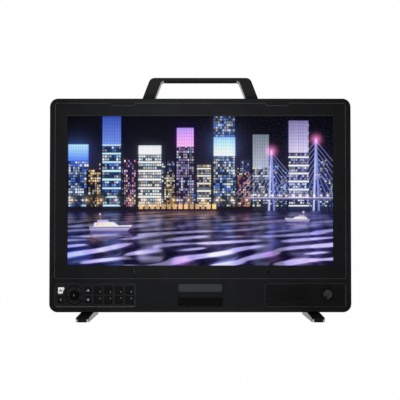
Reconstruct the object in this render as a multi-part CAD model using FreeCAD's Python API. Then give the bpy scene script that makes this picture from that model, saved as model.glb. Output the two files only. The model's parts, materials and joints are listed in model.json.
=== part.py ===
# Production monitor: a flat display in a metal case with a carrying handle, a keypad,
# a control knob, two swivel feet, and cooling fans and sockets at the back.
# Sizes are in millimetres. +X is the viewer's right, +Y runs from the screen to the back, +Z is up.
# Pieces are drawn with the case's front face at y = 0 and the floor at z = 0, and every
# piece is moved by ORIGIN_Y when it is written, so that the origin is under the middle.

import FreeCAD
import Part
import math
import os

Vector = FreeCAD.Vector

# Display and the borders around it
SCREEN_W = 382.0
SCREEN_H = 214.9
BEZEL_BORDER = 18.0
BEZEL_SIDE = 17.2
FRAME_BORDER = 7.5
FRAME_SIDE = 8.5
CONTROL_STRIP = 49.0
BODY_LIFT = 9.8
BODY_DEPTH = 80.0

# Front frame
CORNER_R = 12.0
FRAME_DEPTH = 20.0
FRAME_FACE = 5.0
FRAME_WALL = 3.0
EDGE_R = 1.5
LINE_CHAMFER = 0.6

# Bezel, held by two tabs of the frame at the top and two screws below the screen
BEZEL_T = 2.4
BEZEL_RECESS = 0.2
BEZEL_GAP = 0.3
BEZEL_CORNER_R = 2.5
BEZEL_EDGE = 0.3
WINDOW_MARGIN = 0.4
WINDOW_BEVEL = 1.2
TAB_X = 111.0
TAB_TOP_W = 37.4
TAB_LOW_W = 28.0
TAB_DEPTH = 3.6
BEZEL_SCREW_X = 96.4
BEZEL_SCREW_R = 1.5
BEZEL_HEAD_R = 2.7
BEZEL_HEAD_T = 1.2

# Display stack behind the bezel
GLASS_MARGIN = 5.0
GLASS_T = 2.0
PANEL_MARGIN = 4.0
PANEL_T = 1.8
DIFFUSER_T = 1.6
LIGHT_GAP = 12.0
LED_BOARD_T = 1.6
LED_COLUMNS = 10
LED_ROWS = 6
LED_SIZE = 5.0
LED_T = 1.2
TRAY_WALL = 3.0
TRAY_FLOOR = 3.0
TRAY_FLANGE = 6.6
TRAY_SHELF = 4.0
TRAY_SCREW_X = 150.0
FIT_GAP = 0.5

# Small screws and circuit boards
SCREW_R = 1.5
SCREW_HEAD_R = 2.8
SCREW_HEAD_T = 2.0
THREAD_DEPTH = 3.0
SCREW_GAP = 0.1
BOARD_T = 1.6
BOARD_POST_R = 2.3
BOARD_POST_GAP = 0.4
BOARD_SCREW_R = 1.0
BOARD_SCREW_HEAD_R = 1.9
BOARD_SCREW_HEAD_T = 1.4

# Control pockets in the lower strip of the frame, one at each side
POCKET_W = 114.8
POCKET_H = 32.2
POCKET_R = 3.0
POCKET_LEDGE = 1.0
PLATE_FRONT = 1.2
PLATE_T = 2.0
PLATE_GAP = 0.25

# Keys
KEY_GAP = 0.25
KEY_RECESS = 0.7
KEY_CORNER_R = 1.2
KEY_EDGE = 0.4
KEY_FLANGE = 0.9
KEY_FLANGE_T = 0.8
KEY_SEAT_GAP = 0.1
KEY_TRAVEL = 0.8
KEY_STEM_R = 2.0
KEY_STEM_END = 6.8
FUNCTION_KEY = 10.8
FUNCTION_PITCH = 14.9
FUNCTION_FROM_EDGE = 8.6
ROW_PITCH = 14.0
MENU_KEY_W = 9.5
MENU_KEY_H = 9.4
MENU_ROW_PITCH = 13.2
MENU_KEY_X = 19.1
KEY_ARC_R = 17.2
PAD_R = 2.5
PAD_CLEARANCE = 0.1
MEMBRANE_T = 1.0
MEMBRANE_FRONT = 8.5

# Four-way ring with the select button in its middle
NAV_FROM_EDGE = 27.7
RING_R = 13.4
RING_HOLE_R = 6.9
RING_FRONT = 0.6
RING_GAP = 0.6
RING_FLANGE = 1.2
RING_FLANGE_FRONT = 4.4
RING_FLANGE_T = 0.7
RING_EDGE = 1.2
SCALLOP_R = 7.0
SCALLOP_DEPTH = 1.3
COLLAR_R = 12.0
COLLAR_HOLE_R = 8.4
COLLAR_FRONT = 6.1
COLLAR_BACK = 7.6
RIDGE_W = 3.0
RIDGE_GAP = 0.1
SELECT_R = 6.2
SELECT_FRONT = 0.5
SELECT_DOME = 0.6
SELECT_FLANGE_R = 7.8
SELECT_FLANGE_FRONT = 5.7
SELECT_FLANGE_T = 0.7
SELECT_STEM_END = 7.4
SELECT_TRAVEL = 0.6

# Tally light and the bare plate under it
TALLY_W = 62.7
TALLY_H = 11.0
TALLY_R = 3.0
TALLY_Z = 34.9
TALLY_RECESS = 0.3
TALLY_FLANGE = 1.8
TALLY_FLANGE_T = 1.5
TALLY_BOARD_Y = 8.5
BADGE_W = 64.0
BADGE_H = 12.8
BADGE_R = 2.0
BADGE_Z = 14.9
BADGE_T = 0.8
BADGE_RECESS = 0.2
LENS_GAP = 0.2

# Right-hand panel with the speaker slots and the knob
PANEL_FRONT = 0.8
RIB_PITCH = 2.4
RIB_SLOT = 0.6
RIB_DEPTH = 0.5
SPEAKER_W = 58.0
SPEAKER_H = 24.0
SPEAKER_DEPTH = 14.0
SPEAKER_FROM_EDGE = 40.0
SPEAKER_RIM = 2.0
KNOB_FROM_EDGE = 25.5
KNOB_RISE = 1.3
KNOB_R = 6.3
KNOB_OUT = 4.6
KNOB_DOME = 2.4
KNOB_DISH_R = 9.8
KNOB_DISH_DEPTH = 1.0
KNOB_BACK_GAP = 0.4
KNOB_BORE_DEPTH = 3.4
SHAFT_R = 3.0
RUN_GAP = 0.05
BUSH_R = 4.5
ENCODER_W = 13.0
ENCODER_DEPTH = 7.0
SHAFT_END_GAP = 0.3

# Rear housing
HOUSING_WALL = 2.5
BASE_BACK = 56.0
BASE_CHAMFER = 6.0
HUMP_W = 330.0
HUMP_H = 206.0
HUMP_R = 14.0
HUMP_DRAFT = 8.0
HUMP_DROP = 12.0
HUMP_EDGE_R = 4.0
BOSS_R = 4.0
HOUSING_SCREW_R = 2.0
HOUSING_HEAD_R = 3.5
HOUSING_HEAD_T = 3.0
HOUSING_HEAD_SINK = 1.0
HOUSING_SCREW_BITE = 9.0
HOUSING_SCREW_INSET = 11.0
SIDE_SCREW_SPAN = 190.0
LOW_SCREW_X = 64.0
REBATE = 3.0
GRILLE_T = 1.6
GRILLE_GAP = 0.2
SLAT_PITCH = 5.0
SLAT_SLOT = 2.6
SIDE_VENT_W = 18.0
SIDE_VENT_H = 130.0

# Fans
FAN_SIZE = 60.0
FAN_DEPTH = 15.0
FAN_X = 118.0
FAN_ABOVE = 52.0
FAN_DUCT_R = 28.6
FAN_HUB_R = 11.0
FAN_BLADE_R = 27.6
FAN_BLADES = 7
FAN_BLADE_T = 1.4
FAN_STRUT_W = 3.0
FAN_BACK_T = 2.4
FAN_PIN_R = 1.5
FAN_CORNER_R = 4.0
FAN_HOLE_R = 2.1
FAN_TIP_GAP = 0.6

# Boards, heat sink and the flat display cable
SINK_W = 168.0
SINK_H = 96.0
SINK_BASE = 3.0
SINK_FIN_H = 15.0
SINK_FIN_T = 1.6
SINK_FINS = 18
MAIN_W = 204.0
MAIN_H = 116.0
MAIN_Y = 48.0
POST_R = 3.0
POWER_W = 76.0
POWER_H = 104.0
POWER_Y = 34.0
POWER_X = 148.0
CABLE_W = 36.0
CABLE_T = 0.4
CABLE_BELOW = 3.0

# Sockets at the back
IO_W = 292.0
IO_H = 32.0
IO_UP = 10.0
IO_T = 2.0
IO_DEPTH = 18.0
BNC_COUNT = 4
BNC_PITCH = 24.0
BNC_FIRST_X = -118.0
BNC_R = 4.8
BNC_OUT = 12.0
BNC_BODY = 12.0
BNC_LUG_R = 1.0
BNC_LUG_OUT = 0.9
HDMI_X = 2.0
HDMI_W = 15.0
HDMI_H = 6.0
HDMI_WALL = 0.6
SOCKET_OUT = 1.0
NET_X = 40.0
NET_W = 16.0
NET_H = 13.4
NET_WALL = 1.6
NET_DEPTH = 12.0
INLET_X = 96.0
INLET_R = 9.4
INLET_BORE_R = 7.8
INLET_DEPTH = 13.0
INLET_PIN_R = 1.1
INLET_PIN_CIRCLE = 5.2
INLET_PINS = 4

# Wall-mount pattern on the back
VESA = 100.0
INSERT_R = 3.8
INSERT_BORE_R = 2.0
INSERT_LENGTH = 9.0
INSERT_BOSS_R = 6.5

# Carrying handle
HANDLE_W = 171.4
HANDLE_H = 33.3
HANDLE_DEPTH = 28.0
HANDLE_Y = 35.0
HANDLE_LEG_W = 18.3
HANDLE_LEAN = 21.0
HANDLE_GRIP_T = 4.8
HANDLE_OUTER_R = 9.0
HANDLE_INNER_R = 3.0
HANDLE_EDGE_R = 1.8
HANDLE_SCREW_R = 2.5
HANDLE_SCREW_HEAD_R = 4.2
HANDLE_SCREW_HEAD_T = 4.5
HANDLE_SCREW_BITE = 9.0
HANDLE_SCREW_SPACING = 14.0
HANDLE_PAD_T = 3.0

# Swivel feet
FOOT_X = 163.5
FOOT_W = 18.5
FOOT_Y = 35.0
FOOT_FRONT = 85.0
FOOT_REAR = 52.0
FOOT_TIP_T = 6.0
FOOT_FLAT = 34.0
FOOT_GAP = 0.4
FOOT_NOSE_R = 5.0
FOOT_EDGE_R = 1.2
FOOT_PAD_T = 2.0
FOOT_PAD_OUT = 0.4
FOOT_PAD_L = 22.0
FOOT_PAD_W = 12.0
FOOT_PAD_INSET = 3.0
PIVOT_R = 4.0
PIVOT_HEAD_R = 6.8
PIVOT_HEAD_T = 2.4
PIVOT_BOSS_R = 9.0
PIVOT_BOSS_H = 11.0
PIVOT_BITE = 9.0

# Places worked out from the sizes above
BEZEL_W = SCREEN_W + 2 * BEZEL_SIDE
BEZEL_H = SCREEN_H + 2 * BEZEL_BORDER
BODY_W = BEZEL_W + 2 * FRAME_SIDE
BODY_H = BEZEL_H + FRAME_BORDER + CONTROL_STRIP
Z_BOTTOM = BODY_LIFT
Z_TOP = Z_BOTTOM + BODY_H
Z_MID = (Z_BOTTOM + Z_TOP) / 2
Z_BEZEL = Z_BOTTOM + CONTROL_STRIP
Z_SCREEN = Z_BEZEL + BEZEL_H / 2
Z_HUMP = Z_SCREEN - HUMP_DROP
Z_IO = Z_HUMP - HUMP_H / 2 + IO_UP + IO_H / 2
Z_FAN = Z_HUMP + FAN_ABOVE
BEZEL_BACK = BEZEL_RECESS + BEZEL_T
GLASS_BACK = BEZEL_BACK + GLASS_T
PANEL_BACK = GLASS_BACK + PANEL_T
DIFFUSER_BACK = PANEL_BACK + DIFFUSER_T
LED_BOARD_Y = DIFFUSER_BACK + LIGHT_GAP
TRAY_FLOOR_Y = LED_BOARD_Y + LED_BOARD_T
TRAY_BACK = TRAY_FLOOR_Y + TRAY_FLOOR
PLATE_BACK = PLATE_FRONT + PLATE_T
POCKET_X = BEZEL_W / 2 - POCKET_W / 2
POCKET_Z = Z_BOTTOM + CONTROL_STRIP / 2
NAV_X = -BEZEL_W / 2 + NAV_FROM_EDGE
NAV_Z = POCKET_Z
FUNCTION_X = -POCKET_X + POCKET_W / 2 - FUNCTION_FROM_EDGE - 3 * FUNCTION_PITCH
MEMBRANE_BACK = MEMBRANE_FRONT + MEMBRANE_T
KNOB_X = BEZEL_W / 2 - KNOB_FROM_EDGE
KNOB_Z = POCKET_Z + KNOB_RISE
PANEL_BACK_Y = PANEL_FRONT + PLATE_T
DISH_FLOOR = PANEL_FRONT + KNOB_DISH_DEPTH
KNOB_BACK = DISH_FLOOR - KNOB_BACK_GAP
KNOB_FRONT = PANEL_FRONT - KNOB_OUT
ENCODER_Y = PANEL_BACK_Y
SHAFT_FRONT = KNOB_BACK - KNOB_BORE_DEPTH
SHAFT_BACK = ENCODER_Y + ENCODER_DEPTH / 2
HOUSING_BOSS_X = BODY_W / 2 - HOUSING_SCREW_INSET
FAN_BACK = BODY_DEPTH - HOUSING_WALL
FAN_FRONT = FAN_BACK - FAN_DEPTH
IO_BOARD_Y = BODY_DEPTH - IO_DEPTH
HANDLE_TOP = Z_TOP + HANDLE_H
FOOT_TOP = BODY_LIFT - FOOT_GAP
REAR_REACH = max(BODY_DEPTH + BNC_OUT, FOOT_Y + FOOT_REAR)
FRONT_REACH = FOOT_FRONT - FOOT_Y
ORIGIN_Y = (FRONT_REACH - REAR_REACH) / 2


# Basic solids

def rounded_wire(width, height, radius, y, cx=0.0, cz=0.0):
    """Closed rounded rectangle in the plane of that y."""
    half_w = width / 2
    half_h = height / 2
    r = min(radius, half_w, half_h)
    centres = [
        (cx + half_w - r, cz + half_h - r),
        (cx - half_w + r, cz + half_h - r),
        (cx - half_w + r, cz - half_h + r),
        (cx + half_w - r, cz - half_h + r),
    ]

    def on_arc(corner, quarter):
        angle = math.pi / 2 * quarter
        x, z = centres[corner]
        return Vector(x + r * math.cos(angle), y, z + r * math.sin(angle))

    edges = []
    for corner in range(4):
        start = on_arc(corner, corner)
        middle = on_arc(corner, corner + 0.5)
        end = on_arc(corner, corner + 1)
        following = on_arc((corner + 1) % 4, corner + 1)
        edges.append(Part.Arc(start, middle, end).toShape())
        if end.distanceToPoint(following) > 1e-6:
            edges.append(Part.LineSegment(end, following).toShape())
    return Part.Wire(edges)


def slab(width, height, radius, y0, y1, cx=0.0, cz=0.0):
    """Rounded rectangle in the XZ plane, from y0 to y1."""
    return Part.Face(rounded_wire(width, height, radius, y0, cx, cz)).extrude(Vector(0, y1 - y0, 0))


def block(x0, x1, y0, y1, z0, z1):
    """Plain box between two corners."""
    return Part.makeBox(x1 - x0, y1 - y0, z1 - z0, Vector(x0, y0, z0))


def plate(width, height, y0, y1, cx=0.0, cz=0.0):
    """Plain rectangle in the XZ plane, from y0 to y1."""
    return block(cx - width / 2, cx + width / 2, y0, y1, cz - height / 2, cz + height / 2)


def rod_y(radius, y0, y1, cx, cz):
    """Cylinder along Y."""
    return Part.makeCylinder(radius, y1 - y0, Vector(cx, y0, cz), Vector(0, 1, 0))


def rod_z(radius, z0, z1, cx, cy):
    """Cylinder along Z."""
    return Part.makeCylinder(radius, z1 - z0, Vector(cx, cy, z0), Vector(0, 0, 1))


def tube_y(outer, inner, y0, y1, cx, cz):
    """Hollow cylinder along Y."""
    return rod_y(outer, y0, y1, cx, cz).cut(rod_y(inner, y0 - 1, y1 + 1, cx, cz))


def polygon(points):
    """Face inside a closed run of points."""
    return Part.Face(Part.makePolygon(points + points[:1]))


def prism_x(points, x0, x1):
    """Outline of (y, z) points drawn along X."""
    return polygon([Vector(x0, y, z) for y, z in points]).extrude(Vector(x1 - x0, 0, 0))


def prism_y(points, y0, y1):
    """Outline of (x, z) points drawn along Y."""
    return polygon([Vector(x, y0, z) for x, z in points]).extrude(Vector(0, y1 - y0, 0))


def turned(points, cx, cz):
    """Outline of (radius, y) points turned about the Y axis through (cx, cz)."""
    face = polygon([Vector(cx + r, y, cz) for r, y in points])
    return face.revolve(Vector(cx, 0, cz), Vector(0, 1, 0), 360)


def domed(radius, back, front, rise, cx, cz):
    """Round cap from back to front whose face bulges by rise."""
    edge = front + rise
    ball_r = (radius ** 2 + rise ** 2) / (2 * rise)
    middle = radius / 2
    sag = ball_r - math.sqrt(ball_r ** 2 - middle ** 2)
    crown = Part.Arc(Vector(cx, front, cz), Vector(cx + middle, front + sag, cz),
                     Vector(cx + radius, edge, cz)).toShape()
    sides = Part.makePolygon([Vector(cx + radius, edge, cz), Vector(cx + radius, back, cz),
                              Vector(cx, back, cz), Vector(cx, front, cz)])
    face = Part.Face(Part.Wire([crown] + sides.Edges))
    return face.revolve(Vector(cx, 0, cz), Vector(0, 1, 0), 360)


def edges_at_y(shape, y, cx, cz, width, height):
    """Edges of the shape that lie in the plane of that y, inside a rectangle."""
    found = []
    for edge in shape.Edges:
        box = edge.BoundBox
        flat = abs(box.YMin - y) < 1e-4 and abs(box.YMax - y) < 1e-4
        inside_x = abs((box.XMin + box.XMax) / 2 - cx) <= width / 2 + 1e-3
        inside_z = abs((box.ZMin + box.ZMax) / 2 - cz) <= height / 2 + 1e-3
        if flat and inside_x and inside_z:
            found.append(edge)
    return found


def moved(shape, x=0.0, y=0.0, z=0.0):
    """Copy of a shape, moved."""
    copy = shape.copy()
    copy.translate(Vector(x, y, z))
    return copy


def screw_y(radius, head_r, head_t, head_front, length, cx, cz, direction=1):
    """Pan-head screw along Y, whose head starts at head_front and whose shank follows."""
    under_head = head_front + direction * head_t
    tip = under_head + direction * length
    head = rod_y(head_r, min(head_front, under_head), max(head_front, under_head), cx, cz)
    shank = rod_y(radius, min(under_head, tip), max(under_head, tip), cx, cz)
    return head.fuse(shank).removeSplitter()


# Front frame and bezel

def bezel_blank(gap, y0, y1):
    """Outline of the bezel, with its two top notches, grown by gap."""
    blank = slab(BEZEL_W + 2 * gap, BEZEL_H + 2 * gap, BEZEL_CORNER_R + gap, y0, y1, 0, Z_SCREEN)
    top = Z_BEZEL + BEZEL_H + gap
    low = Z_BEZEL + BEZEL_H - TAB_DEPTH + gap
    notches = []
    for side in (-1, 1):
        x = side * TAB_X
        half_top = TAB_TOP_W / 2 - gap
        half_low = TAB_LOW_W / 2 - gap
        outline = [(x - half_top, top), (x - half_low, low), (x + half_low, low), (x + half_top, top)]
        notches.append(prism_y(outline, y0, y1))
    return blank.cut(notches)


def bezel_screw_places():
    return [(side * BEZEL_SCREW_X, Z_BEZEL + BEZEL_BORDER / 2) for side in (-1, 1)]


def housing_screw_places():
    places = [(side * LOW_SCREW_X, Z_BOTTOM + HOUSING_SCREW_INSET) for side in (-1, 1)]
    for side in (-1, 1):
        for end in (-1, 1):
            places.append((side * HOUSING_BOSS_X, Z_SCREEN + end * SIDE_SCREW_SPAN / 2))
    return places


def tray_screw_places():
    flange_middle = SCREEN_H / 2 + PANEL_MARGIN + FIT_GAP + TRAY_WALL + TRAY_FLANGE / 2
    return [(side * TRAY_SCREW_X, Z_SCREEN + end * flange_middle) for side in (-1, 1) for end in (-1, 1)]


def keypad_post_places():
    spread_x = POCKET_W / 2 - 2 * BOARD_POST_R
    spread_z = POCKET_H / 2 + BOARD_POST_GAP + BOARD_POST_R
    return [(-POCKET_X + sx * spread_x, POCKET_Z + sz * spread_z) for sx in (-1, 1) for sz in (-1, 1)]


def tally_post_places():
    out = TALLY_W / 2 + TALLY_FLANGE + BOARD_POST_R + FIT_GAP
    return [(side * out, Z_BOTTOM + TALLY_Z) for side in (-1, 1)]


def make_front_frame():
    body = slab(BODY_W, BODY_H, CORNER_R, 0, FRAME_DEPTH, 0, Z_MID)
    body = body.makeFillet(EDGE_R, edges_at_y(body, 0, 0, Z_MID, BODY_W, BODY_H))
    hollow = slab(BODY_W - 2 * FRAME_WALL, BODY_H - 2 * FRAME_WALL, CORNER_R - FRAME_WALL,
                  FRAME_FACE, FRAME_DEPTH, 0, Z_MID)
    body = body.cut(hollow)
    bosses = [rod_y(BOSS_R, FRAME_FACE - 1, FRAME_DEPTH, x, z) for x, z in housing_screw_places()]
    posts = [rod_y(BOARD_POST_R, FRAME_FACE - 1, MEMBRANE_BACK, x, z) for x, z in keypad_post_places()]
    posts += [rod_y(BOARD_POST_R, FRAME_FACE - 1, TALLY_BOARD_Y, x, z) for x, z in tally_post_places()]
    body = body.fuse(bosses + posts)
    cuts = [bezel_blank(BEZEL_GAP, 0, BEZEL_BACK)]
    opening_w = SCREEN_W + 2 * GLASS_MARGIN + 2 * FIT_GAP
    opening_h = SCREEN_H + 2 * GLASS_MARGIN + 2 * FIT_GAP
    cuts.append(plate(opening_w, opening_h, 0, FRAME_FACE, 0, Z_SCREEN))
    for side, back in ((-1, PLATE_BACK), (1, PANEL_BACK_Y)):
        x = side * POCKET_X
        cuts.append(slab(POCKET_W, POCKET_H, POCKET_R, 0, back, x, POCKET_Z))
        cuts.append(slab(POCKET_W - 2 * POCKET_LEDGE, POCKET_H - 2 * POCKET_LEDGE,
                         POCKET_R - POCKET_LEDGE, 0, FRAME_FACE, x, POCKET_Z))
    cuts.append(slab(TALLY_W + 2 * LENS_GAP, TALLY_H + 2 * LENS_GAP, TALLY_R + LENS_GAP,
                     0, FRAME_FACE, 0, Z_BOTTOM + TALLY_Z))
    cuts.append(slab(BADGE_W, BADGE_H, BADGE_R, 0, BADGE_T + BADGE_RECESS, 0, Z_BOTTOM + BADGE_Z))
    for x, z in bezel_screw_places():
        cuts.append(rod_y(BEZEL_SCREW_R + SCREW_GAP, 0, FRAME_FACE, x, z))
    for x, z in housing_screw_places():
        bite = FRAME_DEPTH - HOUSING_SCREW_BITE - 1
        cuts.append(rod_y(HOUSING_SCREW_R + SCREW_GAP, bite, FRAME_DEPTH, x, z))
    for x, z in tray_screw_places():
        cuts.append(rod_y(SCREW_R + SCREW_GAP, FRAME_FACE - THREAD_DEPTH / 2, FRAME_FACE, x, z))
    for x, z in keypad_post_places():
        cuts.append(rod_y(BOARD_SCREW_R + SCREW_GAP, MEMBRANE_BACK - THREAD_DEPTH, MEMBRANE_BACK, x, z))
    for x, z in tally_post_places():
        cuts.append(rod_y(BOARD_SCREW_R + SCREW_GAP, TALLY_BOARD_Y - THREAD_DEPTH, TALLY_BOARD_Y, x, z))
    body = body.cut(cuts)
    rims = edges_at_y(body, 0, 0, Z_SCREEN, BEZEL_W + 2, BEZEL_H + 2)
    for side in (-1, 1):
        rims += edges_at_y(body, 0, side * POCKET_X, POCKET_Z, POCKET_W, POCKET_H)
    return body.makeChamfer(LINE_CHAMFER, rims).removeSplitter()


def make_display_bezel():
    bezel = bezel_blank(0, BEZEL_RECESS, BEZEL_BACK)
    outer = edges_at_y(bezel, BEZEL_RECESS, 0, Z_SCREEN, BEZEL_W + 2, BEZEL_H + 2)
    bezel = bezel.makeChamfer(BEZEL_EDGE, outer)
    window_w = SCREEN_W + 2 * WINDOW_MARGIN
    window_h = SCREEN_H + 2 * WINDOW_MARGIN
    bezel = bezel.cut(plate(window_w, window_h, 0, BEZEL_BACK, 0, Z_SCREEN))
    inner = edges_at_y(bezel, BEZEL_RECESS, 0, Z_SCREEN, window_w, window_h)
    bezel = bezel.makeChamfer(WINDOW_BEVEL, inner)
    holes = []
    for x, z in bezel_screw_places():
        holes.append(rod_y(BEZEL_SCREW_R + SCREW_GAP, 0, BEZEL_BACK, x, z))
        holes.append(rod_y(BEZEL_HEAD_R + SCREW_GAP, 0, BEZEL_RECESS + BEZEL_HEAD_T, x, z))
    return bezel.cut(holes)


def make_bezel_screws():
    screws = []
    for x, z in bezel_screw_places():
        screw = screw_y(BEZEL_SCREW_R, BEZEL_HEAD_R, BEZEL_HEAD_T - BEZEL_RECESS, 2 * BEZEL_RECESS,
                        FRAME_FACE - BEZEL_HEAD_T - BEZEL_RECESS, x, z)
        slot = plate(2 * BEZEL_HEAD_R, BEZEL_HEAD_R / 4, 0, 4 * BEZEL_RECESS, x, z)
        screws.append(screw.cut(slot))
    return screws


# Display stack

def screen_sheet(margin, y0, y1):
    """Flat sheet behind the screen's window, larger than it by the margin all round."""
    return plate(SCREEN_W + 2 * margin, SCREEN_H + 2 * margin, y0, y1, 0, Z_SCREEN)


def make_front_glass():
    return screen_sheet(GLASS_MARGIN, BEZEL_BACK, GLASS_BACK)


def make_lcd_panel():
    return screen_sheet(PANEL_MARGIN, GLASS_BACK, PANEL_BACK)


def make_diffuser_sheet():
    return screen_sheet(PANEL_MARGIN, PANEL_BACK, DIFFUSER_BACK)


def make_backlight_board():
    board = plate(SCREEN_W, SCREEN_H, LED_BOARD_Y, TRAY_FLOOR_Y, 0, Z_SCREEN)
    pitch_x = SCREEN_W / LED_COLUMNS
    pitch_z = SCREEN_H / LED_ROWS
    lamps = []
    for column in range(LED_COLUMNS):
        for row in range(LED_ROWS):
            x = (column - (LED_COLUMNS - 1) / 2) * pitch_x
            z = Z_SCREEN + (row - (LED_ROWS - 1) / 2) * pitch_z
            lamps.append(plate(LED_SIZE, LED_SIZE, LED_BOARD_Y - LED_T, LED_BOARD_Y, x, z))
    return board.fuse(lamps)


def make_panel_tray():
    cavity_w = SCREEN_W + 2 * PANEL_MARGIN + 2 * FIT_GAP
    cavity_h = SCREEN_H + 2 * PANEL_MARGIN + 2 * FIT_GAP
    outer_w = cavity_w + 2 * TRAY_WALL
    outer_h = cavity_h + 2 * TRAY_WALL
    tray = plate(outer_w, outer_h, FRAME_FACE, TRAY_BACK, 0, Z_SCREEN)
    flange = plate(outer_w + TRAY_WALL, outer_h + 2 * TRAY_FLANGE, FRAME_FACE,
                   FRAME_FACE + TRAY_WALL, 0, Z_SCREEN)
    tray = tray.fuse(flange)
    posts = [rod_y(POST_R, TRAY_BACK - 1, MAIN_Y, x, z) for x, z in main_post_places()]
    posts += [rod_y(POST_R, TRAY_BACK - 1, POWER_Y, x, z) for x, z in power_post_places()]
    tray = tray.fuse(posts)
    cuts = [
        plate(cavity_w, cavity_h, FRAME_FACE, DIFFUSER_BACK, 0, Z_SCREEN),
        plate(cavity_w - 2 * TRAY_SHELF, cavity_h - 2 * TRAY_SHELF, FRAME_FACE, TRAY_FLOOR_Y, 0, Z_SCREEN),
    ]
    for x, z in tray_screw_places():
        cuts.append(rod_y(SCREW_R + SCREW_GAP, FRAME_FACE, FRAME_FACE + TRAY_WALL, x, z))
    slot_low = Z_SCREEN - outer_h / 2 - TRAY_FLANGE - 1
    slot_half = CABLE_W / 2 + 1
    slot_high = Z_SCREEN - cavity_h / 2
    cuts.append(block(-slot_half, slot_half, FRAME_FACE, PANEL_BACK + 1, slot_low, slot_high))
    cuts.append(block(-CABLE_W / 2 - 1, CABLE_W / 2 + 1, FRAME_FACE, FRAME_FACE + TRAY_WALL,
                      slot_low, Z_SCREEN - outer_h / 2))
    return tray.cut(cuts).removeSplitter()


def make_tray_screws():
    return [screw_y(SCREW_R, SCREW_HEAD_R, SCREW_HEAD_T, FRAME_FACE + TRAY_WALL + SCREW_HEAD_T,
                    TRAY_WALL + THREAD_DEPTH / 2 - SCREW_GAP, x, z, -1) for x, z in tray_screw_places()]


# Keypad

def menu_key_places():
    low = NAV_Z - MENU_ROW_PITCH / 2
    high = NAV_Z + MENU_ROW_PITCH / 2
    return {
        "home_button": (NAV_X - MENU_KEY_X, high),
        "back_button": (NAV_X - MENU_KEY_X, low),
        "page_up_button": (NAV_X + MENU_KEY_X, high),
        "page_down_button": (NAV_X + MENU_KEY_X, low),
    }


def function_key_places():
    places = {}
    for row in range(2):
        for column in range(4):
            x = FUNCTION_X + column * FUNCTION_PITCH
            z = NAV_Z + ROW_PITCH / 2 - row * ROW_PITCH
            places[f"function_button_{row * 4 + column + 1}"] = (x, z)
    return places


def menu_key_form(cx, cz, grow, y0, y1):
    """Rectangle beside the ring, with the ring's arc taken out of its inner side."""
    form = slab(MENU_KEY_W + 2 * grow, MENU_KEY_H + 2 * grow, KEY_CORNER_R, y0, y1, cx, cz)
    return form.cut(rod_y(KEY_ARC_R - grow, y0, y1, NAV_X, NAV_Z))


def function_key_form(cx, cz, grow, y0, y1):
    size = FUNCTION_KEY + 2 * grow
    return slab(size, size, KEY_CORNER_R, y0, y1, cx, cz)


def make_key(form, cx, cz):
    """Cap in the plate's hole, a flange behind the plate and a stem that meets the membrane."""
    front = PLATE_FRONT + KEY_RECESS
    flange_front = PLATE_BACK + KEY_SEAT_GAP
    flange_back = flange_front + KEY_FLANGE_T
    cap = form(cx, cz, 0, front, flange_front)
    cap = cap.makeChamfer(KEY_EDGE, edges_at_y(cap, front, cx, cz, 2 * FUNCTION_KEY, 2 * FUNCTION_KEY))
    flange = form(cx, cz, KEY_FLANGE, flange_front, flange_back)
    stem = rod_y(KEY_STEM_R, flange_back, KEY_STEM_END, cx, cz)
    return cap.fuse([flange, stem]).removeSplitter()


def make_keypad_plate():
    blank = slab(POCKET_W - 2 * PLATE_GAP, POCKET_H - 2 * PLATE_GAP, POCKET_R - PLATE_GAP,
                 PLATE_FRONT, PLATE_BACK, -POCKET_X, POCKET_Z)
    holes = [menu_key_form(x, z, KEY_GAP, 0, PLATE_BACK) for x, z in menu_key_places().values()]
    holes += [function_key_form(x, z, KEY_GAP, 0, PLATE_BACK) for x, z in function_key_places().values()]
    holes.append(rod_y(RING_R + RING_GAP, 0, PLATE_BACK, NAV_X, NAV_Z))
    return blank.cut(holes)


def make_keypad_membrane():
    rim_w = POCKET_W - PLATE_GAP
    rim_h = POCKET_H - PLATE_GAP
    rim = plate(rim_w, rim_h, FRAME_FACE, MEMBRANE_BACK, -POCKET_X, POCKET_Z)
    inner = plate(rim_w - 2 * POCKET_LEDGE, rim_h - 2 * POCKET_LEDGE, FRAME_FACE, MEMBRANE_FRONT,
                  -POCKET_X, POCKET_Z)
    pad_front = KEY_STEM_END + KEY_TRAVEL + PAD_CLEARANCE
    pads = []
    for x, z in list(menu_key_places().values()) + list(function_key_places().values()):
        pads.append(rod_y(PAD_R, pad_front, MEMBRANE_FRONT, x, z))
    select_front = SELECT_STEM_END + SELECT_TRAVEL + PAD_CLEARANCE
    pads.append(rod_y(PAD_R, select_front, MEMBRANE_FRONT, NAV_X, NAV_Z))
    for side in (-1, 1):
        middle = NAV_X + side * (COLLAR_HOLE_R + COLLAR_R) / 2
        pad_front = COLLAR_BACK + RIDGE_GAP
        pads.append(plate(COLLAR_R - COLLAR_HOLE_R, RIDGE_W, pad_front, MEMBRANE_FRONT, middle, NAV_Z))
    return rim.cut(inner).fuse(pads)


def make_keypad_board():
    height = POCKET_H + 2 * BOARD_POST_GAP + 4 * BOARD_POST_R
    board_back = MEMBRANE_BACK + BOARD_T
    board = slab(POCKET_W, height, 2 * BOARD_POST_R, MEMBRANE_BACK, board_back, -POCKET_X, POCKET_Z)
    return board.cut([rod_y(BOARD_SCREW_R + SCREW_GAP, MEMBRANE_BACK, MEMBRANE_BACK + BOARD_T, x, z)
                      for x, z in keypad_post_places()])


def make_board_screws():
    """Screws of the keypad board and the tally board."""
    screws = []
    for places, back in ((keypad_post_places(), MEMBRANE_BACK), (tally_post_places(), TALLY_BOARD_Y)):
        for x, z in places:
            screws.append(screw_y(BOARD_SCREW_R, BOARD_SCREW_HEAD_R, BOARD_SCREW_HEAD_T,
                                  back + BOARD_T + BOARD_SCREW_HEAD_T,
                                  BOARD_T + THREAD_DEPTH - SCREW_GAP, x, z, -1))
    return screws


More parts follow.
